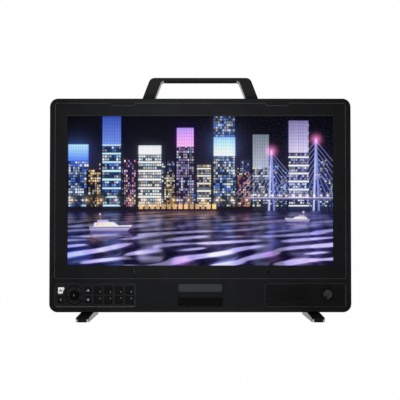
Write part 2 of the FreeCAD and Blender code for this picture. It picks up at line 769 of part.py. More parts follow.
def make_nav_ring():
    flange_back = RING_FLANGE_FRONT + RING_FLANGE_T
    ring = turned([
        (RING_HOLE_R, RING_FRONT),
        (RING_R - RING_EDGE, RING_FRONT),
        (RING_R, RING_FRONT + RING_EDGE),
        (RING_R, RING_FLANGE_FRONT),
        (RING_R + RING_FLANGE, RING_FLANGE_FRONT),
        (RING_R + RING_FLANGE, flange_back),
        (RING_HOLE_R, flange_back),
    ], NAV_X, NAV_Z)
    axis_y = RING_FRONT + SCALLOP_DEPTH - SCALLOP_R
    reach = 2 * RING_R
    middle = Vector(NAV_X, axis_y, NAV_Z)
    for out in (Vector(1, 0, 0), Vector(0, 0, 1)):
        ring = ring.cut(Part.makeCylinder(SCALLOP_R, 2 * reach, middle - out * reach, out))
    return ring


def make_nav_collar():
    """Rocker between the ring and the membrane, with two ridges that the ring rocks on."""
    ring_back = RING_FLANGE_FRONT + RING_FLANGE_T
    collar = tube_y(COLLAR_R, COLLAR_HOLE_R, COLLAR_FRONT, COLLAR_BACK, NAV_X, NAV_Z)
    ridges = []
    for side in (-1, 1):
        middle = NAV_Z + side * (COLLAR_HOLE_R + COLLAR_R) / 2
        width = COLLAR_R - COLLAR_HOLE_R - FIT_GAP
        ridges.append(plate(RIDGE_W, width, ring_back + RIDGE_GAP, COLLAR_FRONT, NAV_X, middle))
    return collar.fuse(ridges)


def make_select_button():
    flange_back = SELECT_FLANGE_FRONT + SELECT_FLANGE_T
    cap = domed(SELECT_R, SELECT_FLANGE_FRONT, SELECT_FRONT, SELECT_DOME, NAV_X, NAV_Z)
    flange = rod_y(SELECT_FLANGE_R, SELECT_FLANGE_FRONT, flange_back, NAV_X, NAV_Z)
    stem = rod_y(KEY_STEM_R, flange_back, SELECT_STEM_END, NAV_X, NAV_Z)
    return cap.fuse([flange, stem]).removeSplitter()


# Tally light and bare plate

def make_tally_lens():
    z = Z_BOTTOM + TALLY_Z
    lens = slab(TALLY_W, TALLY_H, TALLY_R, TALLY_RECESS, FRAME_FACE, 0, z)
    flange = slab(TALLY_W + 2 * TALLY_FLANGE, TALLY_H + 2 * TALLY_FLANGE, TALLY_R + TALLY_FLANGE,
                  FRAME_FACE, FRAME_FACE + TALLY_FLANGE_T, 0, z)
    return lens.fuse(flange).removeSplitter()


def make_tally_board():
    z = Z_BOTTOM + TALLY_Z
    width = TALLY_W + 2 * (TALLY_FLANGE + 2 * BOARD_POST_R + FIT_GAP)
    board = plate(width, TALLY_H, TALLY_BOARD_Y, TALLY_BOARD_Y + BOARD_T, 0, z)
    lamps = []
    for place in (-1, 0, 1):
        lamps.append(plate(LED_SIZE, LED_SIZE, TALLY_BOARD_Y - LED_T, TALLY_BOARD_Y, place * TALLY_W / 3, z))
    holes = [rod_y(BOARD_SCREW_R + SCREW_GAP, TALLY_BOARD_Y, TALLY_BOARD_Y + BOARD_T, x, z)
             for x, z in tally_post_places()]
    return board.fuse(lamps).cut(holes)


def make_badge_plate():
    gap = LENS_GAP / 2
    return slab(BADGE_W - 2 * gap, BADGE_H - 2 * gap, BADGE_R - gap, BADGE_RECESS,
                BADGE_RECESS + BADGE_T, 0, Z_BOTTOM + BADGE_Z)


# Right-hand panel, speaker and knob

def speaker_x():
    return POCKET_X - POCKET_W / 2 + SPEAKER_FROM_EDGE


def make_control_panel():
    panel_w = POCKET_W - 2 * PLATE_GAP
    panel_h = POCKET_H - 2 * PLATE_GAP
    panel = slab(panel_w, panel_h, POCKET_R - PLATE_GAP, PANEL_FRONT, PANEL_BACK_Y, POCKET_X, POCKET_Z)
    bush = rod_y(BUSH_R + HOUSING_WALL, PANEL_FRONT + KNOB_DISH_DEPTH, PANEL_BACK_Y, KNOB_X, KNOB_Z)
    cuts = []
    count = int((panel_h - 2 * POCKET_R) / RIB_PITCH)
    dish_left = KNOB_X - KNOB_DISH_R - POCKET_R
    left = POCKET_X - panel_w / 2 + POCKET_R
    sound_left = speaker_x() - SPEAKER_W / 2 + SPEAKER_RIM
    sound_right = speaker_x() + SPEAKER_W / 2 - SPEAKER_RIM
    for line in range(count + 1):
        z = POCKET_Z + (line - count / 2) * RIB_PITCH
        low = z - RIB_SLOT / 2
        high = z + RIB_SLOT / 2
        cuts.append(block(left, dish_left, PANEL_FRONT, PANEL_FRONT + RIB_DEPTH, low, high))
        if abs(z - POCKET_Z) < SPEAKER_H / 2 - SPEAKER_RIM:
            cuts.append(block(sound_left, sound_right, PANEL_FRONT, PANEL_BACK_Y, low, high))
    cuts.append(rod_y(KNOB_DISH_R, PANEL_FRONT, DISH_FLOOR, KNOB_X, KNOB_Z))
    cuts.append(rod_y(BUSH_R, DISH_FLOOR, PANEL_BACK_Y, KNOB_X, KNOB_Z))
    return panel.fuse(bush).cut(cuts).removeSplitter()


def make_speaker():
    rim_back = PANEL_BACK_Y + SPEAKER_RIM
    rim = slab(SPEAKER_W, SPEAKER_H, SPEAKER_H / 2, PANEL_BACK_Y, rim_back, speaker_x(), POCKET_Z)
    body = slab(SPEAKER_W - 4 * SPEAKER_RIM, SPEAKER_H - 2 * SPEAKER_RIM, SPEAKER_H / 2 - SPEAKER_RIM,
                PANEL_BACK_Y + SPEAKER_RIM, PANEL_BACK_Y + SPEAKER_DEPTH, speaker_x(), POCKET_Z)
    mouth = slab(SPEAKER_W - 6 * SPEAKER_RIM, SPEAKER_H - 4 * SPEAKER_RIM, SPEAKER_H / 2 - 2 * SPEAKER_RIM,
                 PANEL_BACK_Y, PANEL_BACK_Y + SPEAKER_DEPTH / 2, speaker_x(), POCKET_Z)
    return rim.fuse(body).cut(mouth).removeSplitter()


def make_encoder_body():
    """Square switch behind the panel, with a round bush that fills the panel's hole."""
    body = plate(ENCODER_W, ENCODER_W, ENCODER_Y, ENCODER_Y + ENCODER_DEPTH, KNOB_X, KNOB_Z)
    bush = rod_y(BUSH_R - SCREW_GAP, DISH_FLOOR, ENCODER_Y, KNOB_X, KNOB_Z)
    bore = rod_y(SHAFT_R + RUN_GAP, DISH_FLOOR, SHAFT_BACK + SHAFT_END_GAP, KNOB_X, KNOB_Z)
    return body.fuse(bush).cut(bore).removeSplitter()


def make_encoder_shaft():
    return rod_y(SHAFT_R, SHAFT_FRONT, SHAFT_BACK, KNOB_X, KNOB_Z)


def make_control_knob():
    knob = domed(KNOB_R, KNOB_BACK, KNOB_FRONT, KNOB_DOME, KNOB_X, KNOB_Z)
    return knob.cut(rod_y(SHAFT_R, SHAFT_FRONT, KNOB_BACK, KNOB_X, KNOB_Z))


# Rear housing

def housing_form(inset, front):
    """Base tray and raised back of the housing, drawn inset from the outer faces."""
    back = BASE_BACK - inset
    base = slab(BODY_W - 2 * inset, BODY_H - 2 * inset, CORNER_R - inset, front, back, 0, Z_MID)
    chamfer = BASE_CHAMFER - inset * (2 - math.sqrt(2))
    base = base.makeChamfer(chamfer, edges_at_y(base, back, 0, Z_MID, BODY_W, BODY_H))
    root_y = BASE_BACK - BASE_CHAMFER
    crown_y = BODY_DEPTH - inset
    slope = HUMP_DRAFT / (BODY_DEPTH - root_y)
    root_grow = 2 * slope * (crown_y - root_y) - 2 * inset
    root = rounded_wire(HUMP_W + root_grow, HUMP_H + root_grow, HUMP_R, root_y, 0, Z_HUMP)
    crown = rounded_wire(HUMP_W - 2 * inset, HUMP_H - 2 * inset, HUMP_R, crown_y, 0, Z_HUMP)
    hump = Part.makeLoft([root, crown], True, True)
    if inset == 0:
        hump = hump.makeFillet(HUMP_EDGE_R, edges_at_y(hump, crown_y, 0, Z_HUMP, HUMP_W, HUMP_H))
    return base.fuse(hump)


def vent_places():
    """(x, z, width, height, front y of the wall, back y of the wall) of each grille."""
    side_x = (BODY_W / 2 - BASE_CHAMFER + HUMP_W / 2 + HUMP_DRAFT) / 2
    places = []
    for side in (-1, 1):
        places.append((side * FAN_X, Z_FAN, FAN_SIZE, FAN_SIZE, BODY_DEPTH))
        places.append((side * side_x, Z_HUMP, SIDE_VENT_W, SIDE_VENT_H, BASE_BACK))
    return places


def vesa_places():
    return [(sx * VESA / 2, Z_HUMP + sz * VESA / 2) for sx in (-1, 1) for sz in (-1, 1)]


def handle_screw_places():
    leg_middle = HANDLE_W / 2 - HANDLE_LEG_W / 2
    return [(sx * leg_middle, HANDLE_Y + sy * HANDLE_SCREW_SPACING / 2) for sx in (-1, 1) for sy in (-1, 1)]


def make_rear_housing():
    shell = housing_form(0, FRAME_DEPTH).cut(housing_form(HOUSING_WALL, FRAME_DEPTH))
    wall_back = BASE_BACK - HOUSING_WALL
    adds = []
    for x, z in housing_screw_places():
        adds.append(rod_y(BOSS_R + FIT_GAP, FRAME_DEPTH, wall_back + 1, x, z))
    for x, z in vesa_places():
        adds.append(rod_y(INSERT_BOSS_R, BODY_DEPTH - INSERT_LENGTH - HOUSING_WALL, BODY_DEPTH - 1, x, z))
    for side in (-1, 1):
        leg_middle = side * (HANDLE_W / 2 - HANDLE_LEG_W / 2)
        adds.append(block(leg_middle - HANDLE_LEG_W / 2, leg_middle + HANDLE_LEG_W / 2,
                          HANDLE_Y - HANDLE_DEPTH / 2, HANDLE_Y + HANDLE_DEPTH / 2,
                          Z_TOP - HOUSING_WALL - HANDLE_PAD_T, Z_TOP - 1))
        adds.append(rod_z(PIVOT_BOSS_R, Z_BOTTOM + 1, Z_BOTTOM + PIVOT_BOSS_H, side * FOOT_X, FOOT_Y))
    for x, z, width, height, back in vent_places():
        adds.append(plate(width + 2 * REBATE + 2 * HOUSING_WALL, height + 2 * REBATE + 2 * HOUSING_WALL,
                          back - HOUSING_WALL - GRILLE_T, back - HOUSING_WALL / 2, x, z))
    shell = shell.fuse(adds)
    outside = housing_form(0, FRAME_DEPTH)
    shell = shell.common(outside)
    cuts = []
    for x, z in housing_screw_places():
        cuts.append(rod_y(HOUSING_SCREW_R + SCREW_GAP, FRAME_DEPTH, BASE_BACK, x, z))
        head_seat = BASE_BACK - HOUSING_HEAD_SINK - HOUSING_HEAD_T
        cuts.append(rod_y(HOUSING_HEAD_R + SCREW_GAP, head_seat, BASE_BACK, x, z))
    for x, z in vesa_places():
        cuts.append(rod_y(INSERT_R, BODY_DEPTH - INSERT_LENGTH, BODY_DEPTH, x, z))
    for x, y in handle_screw_places():
        cuts.append(rod_z(HANDLE_SCREW_R + SCREW_GAP, Z_TOP - HOUSING_WALL - HANDLE_PAD_T, Z_TOP, x, y))
    for side in (-1, 1):
        cuts.append(rod_z(PIVOT_R + SCREW_GAP, Z_BOTTOM, Z_BOTTOM + PIVOT_BITE, side * FOOT_X, FOOT_Y))
    for x, z, width, height, back in vent_places():
        cuts.append(plate(width + 2 * REBATE, height + 2 * REBATE, back - GRILLE_T, back, x, z))
        cuts.append(plate(width, height, back - HOUSING_WALL - GRILLE_T, back, x, z))
    cuts.append(plate(IO_W, IO_H, BODY_DEPTH - IO_T, BODY_DEPTH, 0, Z_IO))
    opening_front = BODY_DEPTH - 2 * HOUSING_WALL
    cuts.append(plate(IO_W - 2 * REBATE, IO_H - 2 * REBATE, opening_front, BODY_DEPTH, 0, Z_IO))
    return shell.cut(cuts).removeSplitter()


def make_housing_screws():
    head_back = BASE_BACK - HOUSING_HEAD_SINK
    length = head_back - HOUSING_HEAD_T - FRAME_DEPTH + HOUSING_SCREW_BITE
    screws = []
    for x, z in housing_screw_places():
        screw = screw_y(HOUSING_SCREW_R, HOUSING_HEAD_R, HOUSING_HEAD_T, head_back, length, x, z, -1)
        socket = Part.makePolygon([
            Vector(x + HOUSING_SCREW_R * math.cos(math.pi / 3 * k), head_back - HOUSING_HEAD_T / 2,
                   z + HOUSING_SCREW_R * math.sin(math.pi / 3 * k)) for k in range(7)])
        screws.append(screw.cut(Part.Face(socket).extrude(Vector(0, HOUSING_HEAD_T, 0))))
    return screws


def make_vent_grilles():
    """Flat grilles of level slats, one in front of each fan and one at each side."""
    grilles = []
    for x, z, width, height, back in vent_places():
        grille = plate(width + 2 * REBATE - 2 * GRILLE_GAP, height + 2 * REBATE - 2 * GRILLE_GAP,
                       back - GRILLE_T, back, x, z)
        count = int((height - SLAT_SLOT) / SLAT_PITCH)
        slots = []
        for line in range(count + 1):
            level = z + (line - count / 2) * SLAT_PITCH
            slots.append(plate(width, SLAT_SLOT, back - GRILLE_T, back, x, level))
        grilles.append(grille.cut(slots))
    return grilles


# Fans

def make_fan_frame(cx):
    frame = slab(FAN_SIZE, FAN_SIZE, FAN_CORNER_R, FAN_FRONT, FAN_BACK - GRILLE_T, cx, Z_FAN)
    stator_front = FAN_BACK - GRILLE_T - FAN_BACK_T
    duct = rod_y(FAN_DUCT_R, FAN_FRONT, FAN_BACK, cx, Z_FAN)
    hole_spread = FAN_SIZE / 2 - FAN_CORNER_R - FAN_HOLE_R / 2
    holes = [rod_y(FAN_HOLE_R, FAN_FRONT, FAN_BACK, cx + sx * hole_spread, Z_FAN + sz * hole_spread)
             for sx in (-1, 1) for sz in (-1, 1)]
    frame = frame.cut([duct] + holes)
    struts = [
        plate(2 * FAN_DUCT_R + 1, FAN_STRUT_W, stator_front, FAN_BACK - GRILLE_T, cx, Z_FAN),
        plate(FAN_STRUT_W, 2 * FAN_DUCT_R + 1, stator_front, FAN_BACK - GRILLE_T, cx, Z_FAN),
        rod_y(FAN_HUB_R, stator_front, FAN_BACK - GRILLE_T, cx, Z_FAN),
    ]
    frame = frame.fuse(struts)
    return frame.cut(rod_y(FAN_PIN_R + RUN_GAP, stator_front, FAN_BACK, cx, Z_FAN)).removeSplitter()


def blade_section(cx, radius, chord, pitch, y_mid):
    """Closed outline of a blade at that distance from the fan's axis."""
    along = Vector(0, math.sin(pitch), math.cos(pitch)) * (chord / 2)
    across = Vector(0, math.cos(pitch), -math.sin(pitch)) * (FAN_BLADE_T / 2)
    middle = Vector(cx + radius, y_mid, Z_FAN)
    corners = [
        middle + along + across,
        middle - along + across,
        middle - along - across,
        middle + along - across,
    ]
    return Part.makePolygon(corners + corners[:1])


def make_fan_rotor(cx):
    front = FAN_FRONT + FAN_TIP_GAP
    back = FAN_BACK - GRILLE_T - FAN_BACK_T - FAN_TIP_GAP
    middle = (front + back) / 2
    depth = back - front
    hub = rod_y(FAN_HUB_R, front, back, cx, Z_FAN)
    pin = rod_y(FAN_PIN_R, back, FAN_BACK - GRILLE_T, cx, Z_FAN)
    root_pitch = math.radians(48)
    tip_pitch = math.radians(30)
    root = blade_section(cx, FAN_HUB_R - 1, 0.86 * depth / math.sin(root_pitch), root_pitch, middle)
    tip = blade_section(cx, FAN_BLADE_R, 0.72 * depth / math.sin(tip_pitch), tip_pitch, middle)
    blade = Part.makeLoft([root, tip], True, True)
    trim = tube_y(FAN_BLADE_R + FAN_SIZE, FAN_BLADE_R, front - 1, back + 1, cx, Z_FAN)
    blade = blade.cut(trim)
    blades = []
    for number in range(FAN_BLADES):
        copy = blade.copy()
        copy.rotate(Vector(cx, 0, Z_FAN), Vector(0, 1, 0), 360 / FAN_BLADES * number)
        blades.append(copy)
    return hub.fuse([pin] + blades).removeSplitter()


# Boards, heat sink and cable

def main_post_places():
    return [(sx * (MAIN_W / 2 - 2 * POST_R), Z_HUMP + sz * (MAIN_H / 2 - 2 * POST_R))
            for sx in (-1, 1) for sz in (-1, 1)]


def power_post_places():
    return [(POWER_X + sx * (POWER_W / 2 - 2 * POST_R), Z_HUMP + sz * (POWER_H / 2 - 2 * POST_R))
            for sx in (-1, 1) for sz in (-1, 1)]


def make_heatsink():
    base = plate(SINK_W, SINK_H, TRAY_BACK, TRAY_BACK + SINK_BASE, 0, Z_HUMP)
    pitch = (SINK_W - SINK_FIN_T) / (SINK_FINS - 1)
    fins = []
    for number in range(SINK_FINS):
        x = -SINK_W / 2 + SINK_FIN_T / 2 + number * pitch
        root = TRAY_BACK + SINK_BASE
        fins.append(plate(SINK_FIN_T, SINK_H, root, root + SINK_FIN_H, x, Z_HUMP))
    return base.fuse(fins).removeSplitter()


def make_main_board():
    board_back = MAIN_Y + BOARD_T
    board = plate(MAIN_W, MAIN_H, MAIN_Y, board_back, 0, Z_HUMP)
    chips = [
        plate(MAIN_H / 3, MAIN_H / 3, board_back, board_back + 3 * BOARD_T, -MAIN_W / 8, Z_HUMP),
        plate(MAIN_H / 5, MAIN_H / 5, board_back, board_back + BOARD_T, MAIN_W / 4, Z_HUMP + MAIN_H / 5),
        plate(MAIN_H / 5, MAIN_H / 8, board_back, board_back + BOARD_T, MAIN_W / 4, Z_HUMP - MAIN_H / 8),
        plate(CABLE_W + BOARD_T, 4 * BOARD_T, board_back, board_back + 2 * BOARD_T, 0,
              Z_HUMP - MAIN_H / 2 + 2 * BOARD_T),
    ]
    return board.fuse(chips).removeSplitter()


def make_power_board():
    board_back = POWER_Y + BOARD_T
    board = plate(POWER_W, POWER_H, POWER_Y, board_back, POWER_X, Z_HUMP)
    parts = [
        plate(POWER_W / 3, POWER_H / 4, board_back, board_back + 8 * BOARD_T,
              POWER_X - POWER_W / 6, Z_HUMP + POWER_H / 5),
        plate(POWER_W / 2, POWER_H / 5, board_back, board_back + 6 * BOARD_T, POWER_X, Z_HUMP - POWER_H / 6),
    ]
    return board.fuse(parts).removeSplitter()


def make_display_cable():
    """Flat cable from the lower edge of the panel, under the tray and up to the main board."""
    panel_low = Z_SCREEN - SCREEN_H / 2 - PANEL_MARGIN
    tray_low = panel_low - FIT_GAP - TRAY_WALL
    low = tray_low - CABLE_BELOW
    top = Z_HUMP - MAIN_H / 2
    front = GLASS_BACK + PANEL_T / 2
    back = MAIN_Y + BOARD_T + BOARD_T
    outline = [
        (front, panel_low), (front, low), (back + CABLE_T, low), (back + CABLE_T, top),
        (back, top), (back, low + CABLE_T), (front + CABLE_T, low + CABLE_T), (front + CABLE_T, panel_low),
    ]
    return prism_x(outline, -CABLE_W / 2, CABLE_W / 2)


# Sockets and wall-mount inserts

def bnc_places():
    return [(BNC_FIRST_X + number * BNC_PITCH, Z_IO) for number in range(BNC_COUNT)]


def socket_front():
    return IO_BOARD_Y + BOARD_T


def make_io_plate():
    gap = GRILLE_GAP
    cover = plate(IO_W - 2 * gap, IO_H - 2 * gap, BODY_DEPTH - IO_T, BODY_DEPTH, 0, Z_IO)
    holes = [rod_y(BNC_R + FIT_GAP, 0, BODY_DEPTH, x, z) for x, z in bnc_places()]
    holes.append(plate(HDMI_W + FIT_GAP, HDMI_H + FIT_GAP, 0, BODY_DEPTH, HDMI_X, Z_IO))
    holes.append(plate(NET_W + FIT_GAP, NET_H + FIT_GAP, 0, BODY_DEPTH, NET_X, Z_IO))
    holes.append(rod_y(INLET_R + FIT_GAP, 0, BODY_DEPTH, INLET_X, Z_IO))
    return cover.cut(holes)


def make_io_board():
    return plate(IO_W - 4 * REBATE, IO_H - 4 * REBATE, IO_BOARD_Y, socket_front(), 0, Z_IO)


def make_bnc_jacks():
    """Round coaxial jacks with two bayonet lugs each."""
    jacks = []
    for x, z in bnc_places():
        body = plate(BNC_BODY, BNC_BODY, socket_front(), BODY_DEPTH - IO_T - FIT_GAP, x, z)
        barrel = rod_y(BNC_R, socket_front(), BODY_DEPTH + BNC_OUT, x, z)
        lug_y = BODY_DEPTH + BNC_OUT - 3 * BNC_LUG_R
        reach = BNC_R + BNC_LUG_OUT
        lugs = Part.makeCylinder(BNC_LUG_R, 2 * reach, Vector(x - reach, lug_y, z), Vector(1, 0, 0))
        mouth = tube_y(BNC_R - BNC_LUG_R, BNC_R / 3, BODY_DEPTH + BNC_OUT / 2, BODY_DEPTH + BNC_OUT, x, z)
        jacks.append(body.fuse([barrel, lugs]).cut(mouth).removeSplitter())
    return jacks


def make_hdmi_socket():
    back = BODY_DEPTH + SOCKET_OUT
    shell = plate(HDMI_W, HDMI_H, socket_front(), back, HDMI_X, Z_IO)
    floor = BODY_DEPTH - NET_DEPTH
    mouth = plate(HDMI_W - 2 * HDMI_WALL, HDMI_H - 2 * HDMI_WALL, floor, back, HDMI_X, Z_IO)
    tongue = plate(HDMI_W - 6 * HDMI_WALL, 2 * HDMI_WALL, floor, BODY_DEPTH - SOCKET_OUT, HDMI_X, Z_IO)
    return shell.cut(mouth).fuse(tongue).removeSplitter()


def make_network_socket():
    back = BODY_DEPTH + SOCKET_OUT
    shell = plate(NET_W, NET_H, socket_front(), back, NET_X, Z_IO)
    mouth = plate(NET_W - 2 * NET_WALL, NET_H - 2 * NET_WALL, BODY_DEPTH - NET_DEPTH, back, NET_X, Z_IO)
    return shell.cut(mouth)


def make_power_inlet():
    """Round inlet with four pins at the bottom of its bore."""
    back = BODY_DEPTH + SOCKET_OUT
    bore_front = back - INLET_DEPTH
    shell = rod_y(INLET_R, socket_front(), back, INLET_X, Z_IO)
    shell = shell.cut(rod_y(INLET_BORE_R, bore_front, back, INLET_X, Z_IO))
    pins = []
    for number in range(INLET_PINS):
        angle = math.pi / 4 + 2 * math.pi / INLET_PINS * number
        x = INLET_X + INLET_PIN_CIRCLE * math.cos(angle)
        z = Z_IO + INLET_PIN_CIRCLE * math.sin(angle)
        pins.append(rod_y(INLET_PIN_R, bore_front, back - INLET_DEPTH / 4, x, z))
    return shell.fuse(pins).removeSplitter()


def make_vesa_inserts():
    front = BODY_DEPTH - INSERT_LENGTH
    return [tube_y(INSERT_R, INSERT_BORE_R, front, BODY_DEPTH, x, z) for x, z in vesa_places()]


# Handle

def make_handle():
    lean = math.tan(math.radians(HANDLE_LEAN))
    half = HANDLE_W / 2
    inner_h = HANDLE_H - HANDLE_GRIP_T
    grip_half = half - HANDLE_H * lean
    outer = [(-half, Z_TOP), (half, Z_TOP), (grip_half, HANDLE_TOP), (-grip_half, HANDLE_TOP)]
    inner_half = half - HANDLE_LEG_W
    top_half = inner_half - inner_h * lean
    gap_top = Z_TOP + inner_h
    gap = [(-inner_half, Z_TOP), (inner_half, Z_TOP), (top_half, gap_top), (-top_half, gap_top)]
    front = HANDLE_Y - HANDLE_DEPTH / 2
    back = HANDLE_Y + HANDLE_DEPTH / 2
    body = prism_y(outer, front, back)
    hole = prism_y(gap, front, back)
    body = body.makeFillet(HANDLE_OUTER_R, level_edges(body, HANDLE_TOP))
    hole = hole.makeFillet(HANDLE_INNER_R, level_edges(hole, gap_top))
    handle = body.cut(hole)
    rims = []
    for y in (front, back):
        for edge in edges_at_y(handle, y, 0, Z_MID, BODY_W, 2 * BODY_H):
            if edge.BoundBox.ZMax > Z_TOP + 1e-3:
                rims.append(edge)
    handle = handle.makeFillet(HANDLE_EDGE_R, rims)
    bore_top = Z_TOP + HANDLE_SCREW_BITE
    bores = [rod_z(HANDLE_SCREW_R + SCREW_GAP, Z_TOP, bore_top, x, y) for x, y in handle_screw_places()]
    return handle.cut(bores)


def level_edges(shape, z):
    """Edges along Y at that height."""
    return [edge for edge in shape.Edges
            if abs(edge.BoundBox.ZMin - z) < 1e-4 and abs(edge.BoundBox.ZMax - z) < 1e-4
            and edge.BoundBox.XLength < 1e-4]


def make_handle_screws():
    screws = []
    under_pad = Z_TOP - HOUSING_WALL - HANDLE_PAD_T
    for x, y in handle_screw_places():
        head = rod_z(HANDLE_SCREW_HEAD_R, under_pad - HANDLE_SCREW_HEAD_T, under_pad, x, y)
        shank = rod_z(HANDLE_SCREW_R, under_pad, Z_TOP + HANDLE_SCREW_BITE - SCREW_GAP, x, y)
        screws.append(head.fuse(shank).removeSplitter())
    return screws


# Feet

def make_foot(side):
    """Flat bar under the case, thinner towards its rounded ends, with recesses for its pads."""
    x = side * FOOT_X
    low = FOOT_PAD_OUT
    front = FOOT_Y - FOOT_FRONT
    rear = FOOT_Y + FOOT_REAR
    outline = [
        (front, low), (rear, low), (rear, low + FOOT_TIP_T), (FOOT_Y + FOOT_FLAT / 2, FOOT_TOP),
        (FOOT_Y - FOOT_FLAT / 2, FOOT_TOP), (front, low + FOOT_TIP_T),
    ]
    foot = prism_x(outline, x - FOOT_W / 2, x + FOOT_W / 2)
    corners = [edge for edge in foot.Edges if edge.BoundBox.XLength < 1e-4 and edge.BoundBox.YLength < 1e-4]
    foot = foot.makeFillet(FOOT_NOSE_R, corners)
    top_edges = [edge for edge in foot.Edges if edge.BoundBox.ZMin > low + FOOT_TIP_T - 1e-3
                 and not (edge.BoundBox.YLength < 1e-4 and edge.BoundBox.XLength > FOOT_W - 1e-3)]
    foot = foot.makeFillet(FOOT_EDGE_R, top_edges)
    cuts = [
        rod_z(PIVOT_R + RUN_GAP, low, FOOT_TOP, x, FOOT_Y),
        rod_z(PIVOT_HEAD_R + SCREW_GAP, low, low + PIVOT_HEAD_T + SCREW_GAP, x, FOOT_Y),
    ]
    cuts += foot_pad_forms(side, 0)
    return foot.cut(cuts).removeSplitter()


def foot_pad_forms(side, floor):
    """Pads at the two ends of a foot, reaching down to that height."""
    x = side * FOOT_X
    pads = []
    for near in (FOOT_Y - FOOT_FRONT + FOOT_PAD_INSET, FOOT_Y + FOOT_REAR - FOOT_PAD_INSET - FOOT_PAD_L):
        pads.append(block(x - FOOT_PAD_W / 2, x + FOOT_PAD_W / 2, near, near + FOOT_PAD_L, floor, FOOT_PAD_T))
    return pads


def make_foot_pivots():
    """Shoulder screws that carry the feet, with their heads let into the feet from below."""
    pivots = []
    for side in (-1, 1):
        x = side * FOOT_X
        head = rod_z(PIVOT_HEAD_R, FOOT_PAD_OUT, FOOT_PAD_OUT + PIVOT_HEAD_T, x, FOOT_Y)
        shank = rod_z(PIVOT_R, FOOT_PAD_OUT + PIVOT_HEAD_T, Z_BOTTOM + PIVOT_BITE - SCREW_GAP, x, FOOT_Y)
        pivots.append(head.fuse(shank).removeSplitter())
    return pivots


def make_nodes():
    """Every piece by name. A list is a group of separate solids."""
    nodes = {
        "front_frame": make_front_frame(),
        "display_bezel": make_display_bezel(),
        "bezel_screws": make_bezel_screws(),
        "front_glass": make_front_glass(),
        "lcd_panel": make_lcd_panel(),
        "diffuser_sheet": make_diffuser_sheet(),
        "backlight_board": make_backlight_board(),
        "panel_tray": make_panel_tray(),
        "tray_screws": make_tray_screws(),
        "keypad_plate": make_keypad_plate(),
        "keypad_membrane": make_keypad_membrane(),
        "keypad_board": make_keypad_board(),
        "board_screws": make_board_screws(),
        "nav_ring": make_nav_ring(),
        "nav_collar": make_nav_collar(),
        "select_button": make_select_button(),
        "tally_lens": make_tally_lens(),
        "tally_board": make_tally_board(),
        "badge_plate": make_badge_plate(),
        "control_panel": make_control_panel(),
        "speaker": make_speaker(),
        "encoder_body": make_encoder_body(),
        "encoder_shaft": make_encoder_shaft(),
        "control_knob": make_control_knob(),
        "rear_housing": make_rear_housing(),
        "housing_screws": make_housing_screws(),
        "vent_grilles": make_vent_grilles(),
        "fan_frames": [make_fan_frame(-FAN_X), make_fan_frame(FAN_X)],
        "fan_rotor_left": make_fan_rotor(-FAN_X),
        "fan_rotor_right": make_fan_rotor(FAN_X),
        "heatsink": make_heatsink(),
        "main_board": make_main_board(),
        "power_board": make_power_board(),
        "display_cable": make_display_cable(),
        "io_plate": make_io_plate(),
        "io_board": make_io_board(),
        "bnc_jacks": make_bnc_jacks(),
        "hdmi_socket": make_hdmi_socket(),
        "network_socket": make_network_socket(),
        "power_inlet": make_power_inlet(),
        "vesa_inserts": make_vesa_inserts(),
        "handle": make_handle(),
        "handle_screws": make_handle_screws(),
        "left_foot": make_foot(-1),
        "right_foot": make_foot(1),
        "left_foot_pads": foot_pad_forms(-1, 0),
        "right_foot_pads": foot_pad_forms(1, 0),
        "foot_pivots": make_foot_pivots(),
    }
    for name, (x, z) in menu_key_places().items():
        nodes[name] = make_key(menu_key_form, x, z)
    for name, (x, z) in function_key_places().items():
        nodes[name] = make_key(function_key_form, x, z)
    return nodes


def main():
    os.makedirs("parts", exist_ok=True)
    for name, made in make_nodes().items():
        shape = Part.makeCompound(made) if isinstance(made, list) else made
        moved(shape, y=ORIGIN_Y).exportStep(os.path.join("parts", name + ".step"))


if __name__ == "__main__":
    main()
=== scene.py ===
import json
import math

import bpy
import numpy as np
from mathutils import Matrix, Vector


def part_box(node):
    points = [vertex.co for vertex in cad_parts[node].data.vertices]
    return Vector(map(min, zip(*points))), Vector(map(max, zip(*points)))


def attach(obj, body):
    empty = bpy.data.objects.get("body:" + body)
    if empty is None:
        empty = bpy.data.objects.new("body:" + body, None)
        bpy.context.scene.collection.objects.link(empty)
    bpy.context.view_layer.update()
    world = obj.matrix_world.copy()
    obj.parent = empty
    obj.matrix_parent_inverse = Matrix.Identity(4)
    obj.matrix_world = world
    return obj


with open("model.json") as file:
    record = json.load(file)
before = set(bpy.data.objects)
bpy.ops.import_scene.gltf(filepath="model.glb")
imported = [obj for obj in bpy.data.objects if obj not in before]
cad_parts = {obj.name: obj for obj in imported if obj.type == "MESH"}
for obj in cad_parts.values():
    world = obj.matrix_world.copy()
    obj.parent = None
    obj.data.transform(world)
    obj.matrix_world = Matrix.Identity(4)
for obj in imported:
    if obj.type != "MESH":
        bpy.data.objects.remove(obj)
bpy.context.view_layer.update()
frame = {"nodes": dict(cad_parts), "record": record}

MM = 0.001
NODES = frame["nodes"]
SLOT_OF = {part["node"]: part["material_slot"] for part in frame["record"]["subparts"]}

# The screen's lit window, in the middle of the bezel
SCREEN_SIZE = (382.0 * MM, 214.9 * MM)
BEZEL_LOW, BEZEL_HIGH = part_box("display_bezel")
SCREEN_MIDDLE = (BEZEL_LOW + BEZEL_HIGH) / 2
SCREEN_HALF = Vector((SCREEN_SIZE[0] / 2, 0.0, SCREEN_SIZE[1] / 2))
SCREEN_LOW = SCREEN_MIDDLE - SCREEN_HALF
SCREEN_HIGH = SCREEN_MIDDLE + SCREEN_HALF

# Camera
CAMERA_PLACE = Vector((-2.49, -1423.1, 131.99)) * MM
CAMERA_PITCH = 1.587
CAMERA_YAW = 0.083
CAMERA_LENS = 87.86
CAMERA_SENSOR = 36.0
CAMERA_REACH = 50.0

